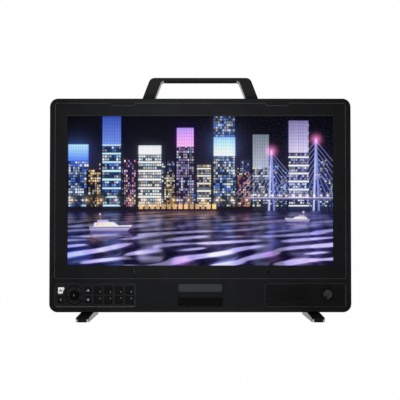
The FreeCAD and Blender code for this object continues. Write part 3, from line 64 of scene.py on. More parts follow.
# Studio
WORLD_LEVEL = 0.12
FLOOR_SIZE = 8.0
FLOOR_WHITE = (0.93, 0.93, 0.93)
FLOOR_GLOW = 0.99

# Screen picture: the mesh grid, and the finer grid it is painted on
PICTURE_COLUMNS = 400
PICTURE_ROWS = 225
PICTURE_FINER = 2
PICTURE_DEPTH = 0.05 * MM
PICTURE_SEED = 11

# The picture's own units: its width and height, the level of the water, soft rims of spots and strokes
PICTURE_WIDE = 16.0
PICTURE_HIGH = 9.0
WATERLINE = 3.30
SPOT_RIM = 0.03
STROKE_RIM = 0.02

# Printed marks stand this far off what they are printed on
PRINT_LIFT = 0.03 * MM

# Digits on the function keys, mm from the middle of the key; those of the lower row are in its upper half
KEY_DIGIT = 3.3
KEY_DIGIT_ASIDE = 2.9
KEY_DIGIT_UP = 2.3
KEYS_IN_ROW = 4

# Numbers over the jacks, mm from the middle of the socket plate as seen from behind
JACKS = 4
JACK_DIGIT = 4.0
JACK_FIRST = 46.0
JACK_PITCH = 24.0
JACK_MARK_UP = 10.5

# Painted glint on the select button, a tall narrow spot: half its width and height in mm
SELECT_GLINT = (0.55, 2.0)
GLINT_CORNERS = 20

# The grip's thickness, and the soft strip under it: its length, width and thickness, the radius and steps of
# its corners, and how far it sits ahead of the middle
GRIP_T = 4.8 * MM
GRIP_PAD = (108.0 * MM, 19.0 * MM, 0.6 * MM)
GRIP_PAD_R = 6.0 * MM
GRIP_PAD_AHEAD = 2.4 * MM
GRIP_CORNER_STEPS = 8

# The feet's noses: how far back they reach, the height in mm up to which their corners carry a painted glint
# of pale metal, the fade of that limit in mm and the tone of that metal
NOSE_DEPTH = 6.0 * MM
NOSE_GLINT_TOP = 4.2
GLINT_FADE = 0.6
GLINT_TONE = 0.42

# Frame: depth of its chamfers and width of its rim
CHAMFER = 0.7 * MM
FRAME_RIM = 4.0 * MM

# The bevel over the screen lies between these heights below and above the screen's top
BEVEL_BELOW = 2.0 * MM
BEVEL_ABOVE = 3.0 * MM

# Thickness of the shells of the sockets
SOCKET_WALLS = {"network_socket": 1.2 * MM, "hdmi_socket": 0.45 * MM}

# How far a face's normal leans along an axis where it counts as slanted, a nose, a side, an underside
# or a chamfer
SLANT = 0.3
NOSE_LEAN = 0.35
SIDE_LEAN = 0.7
UNDER_LEAN = 0.9
CHAMFER_LEAN = (0.5, 0.85)

# What all finishes share: clouds, chipped edges, smears and bump
CLOUD_DETAIL = 4.0
CHIP_SIZE = 3.0 * MM
CHIP_DETAIL = 5.0
CHIP_RANGE = (0.42, 0.62)
SMEAR_SIZE = 9.0 * MM
SMEAR_ROUGHNESS = 0.07
BUMP_DETAIL = 2.0
BUMP_STRENGTH = 0.6
EDGE_SAMPLES = 6
EDGE_RANGE = (0.80, 0.985)

# Tone of most worn edges, and the stretch of brushed metal
WORN = 0.05
BRUSHED = (1.0, 1.0, 14.0)

# Each finish as finish takes it: a tone is a level of grey or a colour
FINISHES = {
    "case_paint": dict(
        tone=(0.0092, 0.0114), rough=0.52, grain=0.5, depth=0.035, gloss=0.012, edge=0.1, wear_and_sheen=WORN),
    "bezel_paint": dict(
        tone=(0.0092, 0.0114), rough=0.48, grain=0.4, depth=0.02, gloss=0.012, edge=0.3, wear_and_sheen=WORN),
    "handle_paint": dict(
        tone=(0.0118, 0.0147), rough=0.42, grain=0.5, depth=0.03, gloss=0.04, edge=0.3, wear_and_sheen=WORN),
    "foot_paint": dict(
        tone=(0.0032, 0.0042), rough=0.15, grain=0.5, depth=0.006, gloss=0.02, edge=0.3, wear_and_sheen=WORN),
    "housing_paint": dict(
        tone=(0.0085, 0.0115), rough=0.50, grain=0.5, depth=0.04, gloss=0.14, edge=0.8, wear_and_sheen=WORN),
    "panel_plastic": dict(
        tone=(0.0061, 0.0076), rough=0.45, grain=0.35, depth=0.02, gloss=0.03, edge=0.3, wear_and_sheen=WORN),
    "key_plastic": dict(
        tone=(0.0043, 0.0054), rough=0.42, grain=0.3, depth=0.01, gloss=0.05, edge=0.3, wear_and_sheen=0.02),
    # The ring's dark and light clouds, 6 mm across, are painted light and shade standing in for reflections
    # on its facets
    "ring_plastic": dict(
        tone=(0.0022, 0.0155), rough=0.34, grain=0.3, depth=0.01, gloss=0.05, edge=0.9,
        wear_and_sheen=0.012, patch=6.0),
    "knob_plastic": dict(
        tone=(0.0045, 0.0065), rough=0.15, grain=0.3, depth=0.004, gloss=0.32, edge=0.3, wear_and_sheen=WORN),
    "tally_plastic": dict(tone=(0.0296, 0.0330), rough=0.34, grain=0.8, depth=0.01, gloss=0.06, edge=0.5),
    "badge_plastic": dict(tone=(0.0029, 0.0038), rough=0.28, grain=0.6, depth=0.006, gloss=0.02),
    "plate_plastic": dict(
        tone=(0.0110, 0.0132), rough=0.45, grain=0.35, depth=0.02, gloss=0.05, edge=0.3, wear_and_sheen=WORN),
    "rim_paint": dict(tone=(0.0112, 0.0142), rough=0.60, grain=0.5, depth=0.035, gloss=0.0, edge=0.1),
    # Light chips on the screw heads' rims: partly wear, partly a painted highlight of the rims
    "black_screw": dict(
        tone=(0.0022, 0.0032), rough=0.32, grain=0.4, depth=0.02, gloss=0.04, edge=0.6, wear_and_sheen=0.30),
    "select_gloss": dict(tone=(0.0014, 0.0020), rough=0.12, grain=0.3, depth=0.002, gloss=0.03, edge=0.2),
    # The noses' corners: a painted glint of pale metal below a low height
    "nose_corner": dict(
        tone=(0.0018, 0.0026), rough=0.24, grain=0.5, depth=0.01, gloss=0.1, edge=0.2, glint_below=NOSE_GLINT_TOP),
    "nose_paint": dict(tone=(0.0060, 0.0080), rough=0.35, grain=0.5, depth=0.006, gloss=0.06, edge=0.3),
    "handle_side": dict(
        tone=(0.0085, 0.0105), rough=0.28, grain=0.5, depth=0.01, gloss=0.8, edge=0.3, wear_and_sheen=WORN),
    # Lighter chamfers: partly cut edges, partly painted highlights picked by the way each chamfer faces
    "cut_edge_highlight": dict(tone=(0.030, 0.045), rough=0.30, grain=0.4, depth=0.01, gloss=0.50, edge=0.1),
    "satin_edge_highlight": dict(tone=(0.020, 0.028), rough=0.35, grain=0.4, depth=0.01, gloss=0.32, edge=0.1),
    "soft_edge_light": dict(tone=(0.013, 0.018), rough=0.40, grain=0.4, depth=0.01, gloss=0.14, edge=0.1),
    "grip_rubber": dict(tone=(0.0056, 0.0076), rough=0.85, grain=0.8, depth=0.08, gloss=0.02),
    "screw_steel": dict(
        tone=(0.03, 0.05), rough=0.36, grain=0.4, depth=0.02, gloss=0.4, edge=0.2, wear_and_sheen=0.35, metal=0.8),
    "pivot_steel": dict(
        tone=(0.42, 0.55), rough=0.30, grain=0.5, depth=0.02, gloss=0.5, edge=0.2, metal=1.0),
    "diffuser_white": dict(tone=(0.74, 0.82), rough=0.55, grain=0.4, depth=0.01, gloss=0.4),
    "tray_metal": dict(
        tone=(0.50, 0.60), rough=0.38, grain=0.6, depth=0.02, gloss=0.5, edge=0.3, metal=1.0,
        patch=20.0, stretch=BRUSHED),
    "silicone": dict(tone=(0.16, 0.20), rough=0.62, grain=0.5, depth=0.02, gloss=0.3),
    "fan_plastic": dict(
        tone=(0.0060, 0.0085), rough=0.48, grain=0.4, depth=0.02, gloss=0.22, edge=0.3, wear_and_sheen=0.03),
    "socket_metal": dict(
        tone=(0.50, 0.62), rough=0.24, grain=0.4, depth=0.01, gloss=0.5, edge=0.2, metal=1.0),
    "socket_plastic": dict(
        tone=(0.006, 0.009), rough=0.45, grain=0.3, depth=0.02, gloss=0.3, edge=0.3, wear_and_sheen=WORN),
    "insert_brass": dict(
        tone=((0.42, 0.27, 0.08), (0.55, 0.37, 0.13)), rough=0.32, grain=0.4, depth=0.02,
        gloss=0.5, edge=0.2, metal=1.0),
    "pad_rubber": dict(
        tone=(0.007, 0.012), rough=0.75, grain=0.6, depth=0.06, gloss=0.2, edge=0.5, wear_and_sheen=0.03),
    "cable_plastic": dict(
        tone=((0.50, 0.46, 0.34), (0.58, 0.54, 0.42)), rough=0.45, grain=0.6, depth=0.02, gloss=0.4),
    "lcd_glass": dict(tone=(0.0020, 0.0030), rough=0.3, grain=0.5, depth=0.002, gloss=0.1),
    "print_dark": dict(tone=(0.05, 0.07), rough=0.5, grain=0.3, depth=0.005, gloss=0.2),
}

# Plastics lit from behind, and prints given a faint painted glow so that they read on black
LIT_PLASTICS = {
    "home_plastic": dict(colour=(0.84, 0.81, 0.82), shade=(0.76, 0.74, 0.75), strength=0.12),
    "print_white": dict(colour=(0.40, 0.40, 0.42), shade=(0.33, 0.33, 0.35), strength=0.05),
    "grey_print_and_glint": dict(colour=(0.17, 0.17, 0.18), shade=(0.13, 0.13, 0.14), strength=0.05),
}

# Nodes that look a little different from the others of their slot
OWN_LOOKS = {
    "keypad_plate": "plate_plastic",
    "bezel_screws": "black_screw",
    "select_button": "select_gloss",
}


# Node helpers


def new_material(name):
    """An empty node material, its tree and its Principled surface."""
    material = bpy.data.materials.new(name)
    material.use_nodes = True
    tree = material.node_tree
    return material, tree, tree.nodes["Principled BSDF"]


def object_noise(tree, size, detail=3.0, stretch=(1.0, 1.0, 1.0)):
    """Noise with features about size metres across, fixed to the piece; stretch squeezes it along an axis."""
    place = tree.nodes.new("ShaderNodeTexCoord")
    mapping = tree.nodes.new("ShaderNodeMapping")
    mapping.inputs["Scale"].default_value = stretch
    noise = tree.nodes.new("ShaderNodeTexNoise")
    noise.inputs["Scale"].default_value = 1.0 / size
    noise.inputs["Detail"].default_value = detail
    tree.links.new(place.outputs["Object"], mapping.inputs["Vector"])
    tree.links.new(mapping.outputs["Vector"], noise.inputs["Vector"])
    return noise.outputs["Fac"]


def ranged(tree, value, low, high, start=0.3, end=0.7):
    """value, taken from start..end to low..high."""
    node = tree.nodes.new("ShaderNodeMapRange")
    node.inputs["From Min"].default_value = start
    node.inputs["From Max"].default_value = end
    node.inputs["To Min"].default_value = low
    node.inputs["To Max"].default_value = high
    tree.links.new(value, node.inputs["Value"])
    return node.outputs["Result"]


def mixed(tree, factor, first, second):
    """A colour between first and second; either is a colour or a socket."""
    node = tree.nodes.new("ShaderNodeMix")
    node.data_type = "RGBA"
    tree.links.new(factor, node.inputs[0])
    for socket, colour in ((node.inputs[6], first), (node.inputs[7], second)):
        if isinstance(colour, tuple):
            socket.default_value = (*colour, 1.0)
        else:
            tree.links.new(colour, socket)
    return node.outputs[2]


def multiplied(tree, first, second):
    """The product of two sockets."""
    node = tree.nodes.new("ShaderNodeMath")
    node.operation = "MULTIPLY"
    tree.links.new(first, node.inputs[0])
    tree.links.new(second, node.inputs[1])
    return node.outputs[0]


def eased_normal(tree, radius):
    """The normal with edges eased by radius, and a mask that is 1 along those edges."""
    bevel = tree.nodes.new("ShaderNodeBevel")
    bevel.samples = EDGE_SAMPLES
    bevel.inputs["Radius"].default_value = radius
    geometry = tree.nodes.new("ShaderNodeNewGeometry")
    dot = tree.nodes.new("ShaderNodeVectorMath")
    dot.operation = "DOT_PRODUCT"
    tree.links.new(bevel.outputs["Normal"], dot.inputs[0])
    tree.links.new(geometry.outputs["Normal"], dot.inputs[1])
    edge = ranged(tree, dot.outputs["Value"], 1.0, 0.0, *EDGE_RANGE)
    return bevel.outputs["Normal"], edge


def object_height(tree):
    """The height of each place of the piece."""
    place = tree.nodes.new("ShaderNodeTexCoord")
    axes = tree.nodes.new("ShaderNodeSeparateXYZ")
    tree.links.new(place.outputs["Object"], axes.inputs["Vector"])
    return axes.outputs["Z"]


# Materials


def grey(level):
    """A near-neutral colour, a little towards blue."""
    return (0.965 * level, level, 1.06 * level)


def tinted(tone):
    """tone itself where it is a colour, or the grey of that level."""
    return tone if isinstance(tone, tuple) else grey(tone)


def finish(name, tone, rough, grain, depth, gloss, edge=0.4, wear_and_sheen=None, metal=0.0, patch=26.0,
           stretch=(1.0, 1.0, 1.0), glint_below=None):
    """A surface with colour in clouds of patch mm between two tones, and uneven roughness.

    Its bump has grains of grain mm by depth mm. Its edges are eased by edge mm and, where wear_and_sheen
    gives a tone,
    chipped in that tone: wear, and on the screws partly a painted highlight on the rims. Below a height of
    glint_below mm pale metal shows, a painted glint."""
    material, tree, surface = new_material(name)
    cloud = ranged(tree, object_noise(tree, patch * MM, CLOUD_DETAIL, stretch), 0.0, 1.0)
    colour = mixed(tree, cloud, tinted(tone[0]), tinted(tone[1]))
    normal, rim = eased_normal(tree, edge * MM)
    if wear_and_sheen:
        # Chips on the edges: wear, and on the screws partly a painted highlight on the heads' rims
        chip_and_sheen_mask = ranged(tree, object_noise(tree, CHIP_SIZE, CHIP_DETAIL), 0.0, 1.0, *CHIP_RANGE)
        colour = mixed(tree, multiplied(tree, rim, chip_and_sheen_mask), colour, grey(wear_and_sheen))
    surface.inputs["Metallic"].default_value = metal
    if glint_below:
        # Pale metal below that height: a painted glint
        glint_band = ranged(tree, object_height(tree), 1.0, 0.0, (glint_below - GLINT_FADE) * MM, (glint_below + GLINT_FADE) * MM)
        colour = mixed(tree, glint_band, colour, grey(GLINT_TONE))
        tree.links.new(glint_band, surface.inputs["Metallic"])
    tree.links.new(colour, surface.inputs["Base Color"])
    smears = object_noise(tree, SMEAR_SIZE, CLOUD_DETAIL, stretch)
    uneven = ranged(tree, smears, rough - SMEAR_ROUGHNESS, rough + SMEAR_ROUGHNESS)
    tree.links.new(uneven, surface.inputs["Roughness"])
    surface.inputs["Specular IOR Level"].default_value = gloss
    bump = tree.nodes.new("ShaderNodeBump")
    bump.inputs["Strength"].default_value = BUMP_STRENGTH
    bump.inputs["Distance"].default_value = depth * MM
    tree.links.new(object_noise(tree, grain * MM, BUMP_DETAIL, stretch), bump.inputs["Height"])
    tree.links.new(normal, bump.inputs["Normal"])
    tree.links.new(bump.outputs["Normal"], surface.inputs["Normal"])
    return material


def cover_glass():
    """Low-glare glass: clear, with a weak reflection that a faint haze breaks up."""
    material, tree, surface = new_material("cover_glass")
    surface.inputs["Base Color"].default_value = (0.004, 0.004, 0.005, 1.0)
    surface.inputs["Specular IOR Level"].default_value = 0.12
    haze = object_noise(tree, 40.0 * MM, 4.0)
    tree.links.new(ranged(tree, haze, 0.16, 0.26), surface.inputs["Roughness"])
    clear = tree.nodes.new("ShaderNodeBsdfTransparent")
    both = tree.nodes.new("ShaderNodeMixShader")
    tree.links.new(ranged(tree, haze, 0.10, 0.13), both.inputs["Fac"])
    tree.links.new(clear.outputs["BSDF"], both.inputs[1])
    tree.links.new(surface.outputs["BSDF"], both.inputs[2])
    tree.links.new(both.outputs["Shader"], tree.nodes["Material Output"].inputs["Surface"])
    return material


def lit_picture():
    """The picture's own light, from the mesh's colours."""
    material, tree, surface = new_material("lit_picture")
    paint = tree.nodes.new("ShaderNodeAttribute")
    paint.attribute_name = "light"
    surface.inputs["Base Color"].default_value = (0.002, 0.002, 0.003, 1.0)
    surface.inputs["Specular IOR Level"].default_value = 0.0
    surface.inputs["Emission Strength"].default_value = 1.0
    tree.links.new(paint.outputs["Color"], surface.inputs["Emission Color"])
    return material


def lit_plastic(name, colour, shade, strength):
    """Translucent plastic lit from behind, a little uneven; on the prints the glow is painted light."""
    material, tree, surface = new_material(name)
    cloud = ranged(tree, object_noise(tree, 5.0 * MM, 3.0), 0.0, 1.0)
    tone = mixed(tree, cloud, shade, colour)
    tree.links.new(tone, surface.inputs["Base Color"])
    tree.links.new(tone, surface.inputs["Emission Color"])
    surface.inputs["Emission Strength"].default_value = strength
    tree.links.new(ranged(tree, cloud, 0.4, 0.5, 0.0, 1.0), surface.inputs["Roughness"])
    return material


def circuit_board():
    """Green solder mask with copper tracks showing through."""
    material, tree, surface = new_material("board_green")
    place = tree.nodes.new("ShaderNodeTexCoord")
    tracks = tree.nodes.new("ShaderNodeTexBrick")
    tracks.inputs["Scale"].default_value = 120.0
    tracks.inputs["Mortar Size"].default_value = 0.06
    tree.links.new(place.outputs["Object"], tracks.inputs["Vector"])
    cloud = ranged(tree, object_noise(tree, 14.0 * MM), 0.0, 1.0)
    mask = mixed(tree, cloud, (0.012, 0.075, 0.032), (0.018, 0.105, 0.045))
    tree.links.new(mixed(tree, tracks.outputs["Fac"], mask, (0.05, 0.19, 0.07)), surface.inputs["Base Color"])
    tree.links.new(ranged(tree, cloud, 0.32, 0.42, 0.0, 1.0), surface.inputs["Roughness"])
    bump = tree.nodes.new("ShaderNodeBump")
    bump.inputs["Distance"].default_value = 0.05 * MM
    tree.links.new(tracks.outputs["Fac"], bump.inputs["Height"])
    tree.links.new(bump.outputs["Normal"], surface.inputs["Normal"])
    return material


def make_materials():
    """The material of each slot in the record, of details within a slot and of the printed marks."""
    materials = {name: finish(name, **look) for name, look in FINISHES.items()}
    for name, look in LIT_PLASTICS.items():
        materials[name] = lit_plastic(name, **look)
    materials["cover_glass"] = cover_glass()
    materials["board_green"] = circuit_board()
    return materials


# Dressing of the CAD nodes


def add_looks(mesh, materials, names):
    """Adds materials to a mesh that has one, and gives the index of each by name."""
    for name in names:
        mesh.materials.append(materials[name])
    return {name: order for order, name in enumerate(names, 1)}


def dress_mouth(name, materials):
    """The faces inside a socket's shell are dark plastic."""
    mesh = NODES[name].data
    looks = add_looks(mesh, materials, ("socket_plastic",))
    low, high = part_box(name)
    for face in mesh.polygons:
        x, _, z = face.center
        if min(x - low.x, high.x - x, z - low.z, high.z - z) > SOCKET_WALLS[name]:
            face.material_index = looks["socket_plastic"]


def pocket_edge(face, keypad, strip_top):
    """Painted highlight of a pocket chamfer, by the way it faces; keypad is the box of the keypad's plate."""
    x, _, z = face.center
    low, high = keypad
    by_keypad = low.x - FRAME_RIM < x < high.x + FRAME_RIM and low.z - FRAME_RIM < z < high.z + FRAME_RIM
    if by_keypad:
        return "satin_edge_highlight" if face.normal.x > SLANT else "cut_edge_highlight"
    if face.normal.z > SLANT:
        return "soft_edge_light" if z < strip_top else "satin_edge_highlight"
    return "cut_edge_highlight"


def dress_frame(materials):
    """The frame's outer rim is dead matt; the chamfers of its pockets get painted highlights, by the way each
    faces.
    """
    mesh = NODES["front_frame"].data
    looks = add_looks(mesh, materials, ("cut_edge_highlight", "soft_edge_light", "rim_paint", "satin_edge_highlight"))
    low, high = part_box("front_frame")
    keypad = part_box("keypad_plate")
    strip_top = BEZEL_LOW.z - 2 * CHAMFER
    for face in mesh.polygons:
        x, y, z = face.center
        if min(x - low.x, high.x - x, z - low.z, high.z - z) < FRAME_RIM:
            face.material_index = looks["rim_paint"] if y - low.y < FRAME_RIM else 0
        elif y - low.y <= CHAMFER and CHAMFER_LEAN[0] < -face.normal.y < CHAMFER_LEAN[1]:
            # Painted highlight on a pocket's chamfer, stronger or fainter by the way it faces
            face.material_index = looks[pocket_edge(face, keypad, strip_top)]


def dress_feet(materials):
    """The round corners of the feet's noses carry a painted glint of pale metal low down; the noses have
    their own paint.
    """
    for name in ("left_foot", "right_foot"):
        mesh = NODES[name].data
        looks = add_looks(mesh, materials, ("nose_corner", "nose_paint"))
        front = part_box(name)[0].y
        for face in mesh.polygons:
            ahead = face.normal.y <= -NOSE_LEAN and abs(face.normal.z) <= SLANT
            if ahead and face.center.y - front <= NOSE_DEPTH:
                at_corner = abs(face.normal.x) > NOSE_LEAN
                face.material_index = looks["nose_corner" if at_corner else "nose_paint"]


def dress_handle(materials):
    """The handle's underside and the inner sides of its legs shine more than the rest."""
    mesh = NODES["handle"].data
    looks = add_looks(mesh, materials, ("handle_side",))
    for face in mesh.polygons:
        inward = face.normal.x * face.center.x < 0.0 and abs(face.normal.x) > SIDE_LEAN
        if inward or face.normal.z < -UNDER_LEAN:
            face.material_index = looks["handle_side"]


def dress_bezel(materials):
    """Painted light: the bevel over the screen is a little lighter than the bezel's paint, as if the screen
    lit it.
    """
    mesh = NODES["display_bezel"].data
    looks = add_looks(mesh, materials, ("soft_edge_light",))
    for face in mesh.polygons:
        slanted = face.normal.z < -SLANT and face.normal.y < -SLANT
        if slanted and -BEVEL_BELOW < face.center.z - SCREEN_HIGH.z < BEVEL_ABOVE:
            # Painted light from the screen on the top bevel's faces
            face.material_index = looks["soft_edge_light"]


def dress_nodes(materials):
    """Each CAD node gets its slot's material or its own, and some of its faces a look of theirs."""
    for name, node in NODES.items():
        node.data.materials.clear()
        node.data.materials.append(materials[OWN_LOOKS.get(name, SLOT_OF[name])])
    dress_frame(materials)
    dress_feet(materials)
    dress_handle(materials)
    dress_bezel(materials)
    for name in SOCKET_WALLS:
        dress_mouth(name, materials)


def add_grip_pad(materials):
    """A soft strip with round corners, stuck under the handle's grip."""
    low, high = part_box("handle")
    length, width, thick = GRIP_PAD
    top = high.z - GRIP_T
    middle = (low.y + high.y) / 2 - GRIP_PAD_AHEAD
    outline = []
    for corner, (sx, sy) in enumerate(((1, 1), (-1, 1), (-1, -1), (1, -1))):
        for step in range(GRIP_CORNER_STEPS + 1):
            angle = math.radians(90.0 * corner + 90.0 * step / GRIP_CORNER_STEPS)
            outline.append((sx * (length / 2 - GRIP_PAD_R) + GRIP_PAD_R * math.cos(angle),
                            middle + sy * (width / 2 - GRIP_PAD_R) + GRIP_PAD_R * math.sin(angle)))
    mesh = bpy.data.meshes.new("grip_pad")
    count = len(outline)
    corners = [(x, y, top) for x, y in outline] + [(x, y, top - thick) for x, y in outline]
    faces = [tuple(range(count)), tuple(range(2 * count - 1, count - 1, -1))]
    faces += [(i, i + count, (i + 1) % count + count, (i + 1) % count) for i in range(count)]
    mesh.from_pydata(corners, [], faces)
    mesh.materials.append(materials["grip_rubber"])
    piece = bpy.data.objects.new("grip_pad", mesh)
    bpy.context.scene.collection.objects.link(piece)
    ease = piece.modifiers.new("ease", "BEVEL")
    ease.width = thick / 3
    ease.segments = 2
    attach(piece, "chassis")


# Screen picture: a night waterfront, painted in light


class Canvas:
    """A grid of light, with the place of each cell and the tools that paint on it."""

    def __init__(self, columns, rows):
        self.columns = columns
        self.rows = rows
        self.x = (np.arange(columns)[None, :] + 0.5) * PICTURE_WIDE / columns + np.zeros((rows, 1))
        self.y = (np.arange(rows)[:, None] + 0.5) * PICTURE_HIGH / rows + np.zeros((1, columns))
        self.light = np.zeros((rows, columns, 3))

    def paint(self, mask, colour, strength=1.0):
        """Lays colour where mask is above 0."""
        cover = np.clip(mask, 0.0, 1.0)[..., None] * strength
        self.light += cover * (np.asarray(colour, float) - self.light)

    def shine(self, mask, colour):
        """Adds light where mask is above 0."""
        self.light += np.clip(mask, 0.0, None)[..., None] * np.asarray(colour, float)

    def bar(self, left, right, low, high, colour):
        """A plain upright rectangle, laid straight into the grid."""
        def cells(start, end, whole, count):
            return slice(max(0, round(start / whole * count)), max(0, round(end / whole * count)))

        columns = cells(left, right, PICTURE_WIDE, self.columns)
        rows = cells(low, high, PICTURE_HIGH, self.rows)
        self.light[rows, columns] = colour

    def disc(self, x, y, radius):
        """1 inside a round spot, soft at its rim."""
        far = np.hypot(self.x - x, self.y - y)
        return np.clip((radius - far) / SPOT_RIM + 0.5, 0.0, 1.0)

    def glow(self, x, y, radius):
        """A soft round glow that fades with distance."""
        return np.exp(-((self.x - x) ** 2 + (self.y - y) ** 2) / radius**2)

    def stroke(self, start, end, width):
        """1 along a straight stroke from start to end."""
        along = np.array(end) - np.array(start)
        reach = ((self.x - start[0]) * along[0] + (self.y - start[1]) * along[1]) / (along @ along)
        reach = np.clip(reach, 0.0, 1.0)
        far = np.hypot(self.x - start[0] - reach * along[0], self.y - start[1] - reach * along[1])
        return np.clip((width / 2 - far) / STROKE_RIM + 0.5, 0.0, 1.0)

    def inside(self, corners):
        """1 inside a convex outline whose corners run anticlockwise."""
        mask = np.ones_like(self.x)
        for (x0, y0), (x1, y1) in zip(corners, corners[1:] + corners[:1]):
            side = (x1 - x0) * (self.y - y0) - (y1 - y0) * (self.x - x0)
            far = side / math.hypot(x1 - x0, y1 - y0)
            mask = np.minimum(mask, np.clip(far / STROKE_RIM + 0.5, 0.0, 1.0))
        return mask


def soften(light, cells):
    """A blur of about cells, from three box blurs each way."""
    for axis in (0, 1):
        for _ in range(3):
            pad = [(0, 0)] * 3
            pad[axis] = (cells + 1, cells)
            total = np.cumsum(np.pad(light, pad, mode="edge"), axis=axis)
            window = 2 * cells + 1
            count = total.shape[axis] - window
            ahead = np.take(total, range(window, window + count), axis=axis)
            behind = np.take(total, range(count), axis=axis)
            light = (ahead - behind) / window
    return light


def paint_tower(canvas, rng, left, width, top, wall, lamps, pitch, lit, banded=False):
    """A tower with rows of windows; lamps are its window colours, lit the share that is on."""
    canvas.bar(left, left + width, WATERLINE, top, wall)
    edge = 0.10 * width
    canvas.bar(left, left + edge, WATERLINE, top, tuple(0.4 * c for c in wall))
    across = max(2, round((width - edge) / pitch))
    step = (width - edge) / across
    for row in range(int((top - WATERLINE - 0.2) / (1.25 * pitch))):
        low = WATERLINE + 0.25 + row * 1.25 * pitch
        if banded and row % 3 == 0:
            canvas.bar(left + edge, left + width, low, low + 0.75 * pitch, lamps[0])
            continue
        shade = rng.uniform(0.45, 1.0)
        for column in range(across):
            if rng.random() > lit:
                continue
            start = left + edge + (column + 0.15) * step
            lamp = np.array(lamps[rng.integers(len(lamps))]) * shade * rng.uniform(0.35, 1.25)
            canvas.bar(start, start + 0.72 * step, low, low + 0.85 * pitch, lamp)


def paint_sky(canvas):
    """A night sky that warms to violet over the town."""
    height = np.clip((canvas.y - WATERLINE) / (PICTURE_HIGH - WATERLINE), 0.0, 1.0)[..., None]
    low = np.array((0.066, 0.052, 0.130))
    high = np.array((0.003, 0.004, 0.010))
    canvas.light[:] = high + (low - high) * (1.0 - height) ** 1.8


def paint_washed(canvas, left, right, low, high, first, second):
    """A wall washed with light, from first at its foot to second at its top, with fine joints."""
    inside = (canvas.x > left) & (canvas.x < right) & (canvas.y > low) & (canvas.y < high)
    rise = np.clip((canvas.y - low) / (high - low), 0.0, 1.0)[..., None]
    wash = np.array(first) + (np.array(second) - np.array(first)) * rise
    joints = 0.72 + 0.28 * (np.mod(canvas.x - left, 0.145) > 0.035)
    floors = 0.80 + 0.20 * (np.mod(canvas.y - low, 0.20) > 0.045)
    canvas.light = np.where(inside[..., None], wash * (joints * floors)[..., None], canvas.light)


def paint_town(canvas, rng):
    """A far row of hazy blocks, then the near towers one by one."""
    gold = (1.00, 0.66, 0.26)
    cream = (1.00, 0.92, 0.76)
    ice = (0.58, 0.78, 1.00)
    blue = (0.12, 0.30, 0.95)
    lilac = (0.70, 0.58, 1.00)
    rose = (1.00, 0.40, 0.70)
    white = (1.00, 1.00, 1.00)
    left = -0.2
    while left < PICTURE_WIDE:
        width = rng.uniform(0.40, 0.95)
        wall = np.array((0.030, 0.032, 0.085)) * rng.uniform(0.7, 1.3)
        top = WATERLINE + rng.uniform(1.3, 3.3)
        paint_tower(canvas, rng, left, width, top, tuple(wall), [ice, blue, cream], 0.10, 0.42)
        left += width * rng.uniform(0.85, 1.1)
    ink = (0.010, 0.012, 0.030)
    navy = (0.014, 0.028, 0.095)
    plum = (0.034, 0.018, 0.062)
    slate = (0.030, 0.036, 0.058)
    # Left side, width, top, wall, lamps, pitch of the windows, share that is lit, with or without bands
    towers = (
        (-0.10, 1.35, 7.30, navy, [ice, blue, white], 0.13, 0.80, False),
        (1.15, 0.85, 5.75, ink, [gold, cream], 0.12, 0.70, False),
        (1.95, 1.25, 9.10, navy, [ice, blue, white], 0.14, 0.72, True),
        (3.30, 0.80, 6.45, plum, [rose, lilac, cream], 0.12, 0.62, False),
        (4.10, 1.55, 7.25, slate, [white, ice, cream], 0.14, 0.85, True),
        (5.75, 0.75, 5.50, ink, [gold, cream], 0.11, 0.70, False),
        (6.45, 1.15, 8.30, plum, [lilac, ice, white], 0.13, 0.74, False),
        (7.70, 0.95, 6.05, navy, [cream, gold, ice], 0.12, 0.70, True),
        (8.65, 1.45, 9.10, slate, [ice, white, blue], 0.13, 0.76, False),
        (10.15, 0.85, 5.60, plum, [gold, rose, cream], 0.11, 0.70, False),
        (11.05, 1.10, 7.90, slate, [ice, white, cream], 0.13, 0.66, False),
        (13.20, 1.35, 8.75, navy, [white, ice, lilac], 0.13, 0.74, True),
    )
    for tower in towers:
        paint_tower(canvas, rng, *tower)
    # Left and right side, foot and top, then the colour at the foot and at the top
    washes = (
        (0.02, 1.25, 6.30, 7.30, (0.10, 0.26, 0.95), (0.50, 0.72, 1.00)),
        (6.57, 7.60, 7.15, 8.30, (0.95, 0.55, 0.90), (0.55, 0.40, 1.00)),
        (8.80, 10.10, 6.60, 7.75, (0.85, 0.92, 1.00), (0.36, 0.58, 1.00)),
        (4.26, 5.65, 6.75, 7.25, (0.98, 0.98, 1.00), (0.80, 0.86, 1.00)),
        (2.08, 3.20, 7.30, 9.00, (0.24, 0.36, 0.78), (0.07, 0.13, 0.52)),
        (11.16, 12.15, 5.90, 7.90, (0.52, 0.56, 0.62), (0.24, 0.28, 0.36)),
        (13.34, 14.55, 6.80, 8.75, (0.70, 0.66, 0.82), (0.30, 0.27, 0.50)),
    )
    for wash in washes:
        paint_washed(canvas, *wash)
    canvas.shine(canvas.glow(0.6, 6.9, 0.9), (0.04, 0.06, 0.16))
    canvas.shine(canvas.glow(9.4, 7.3, 1.1), (0.05, 0.06, 0.14))


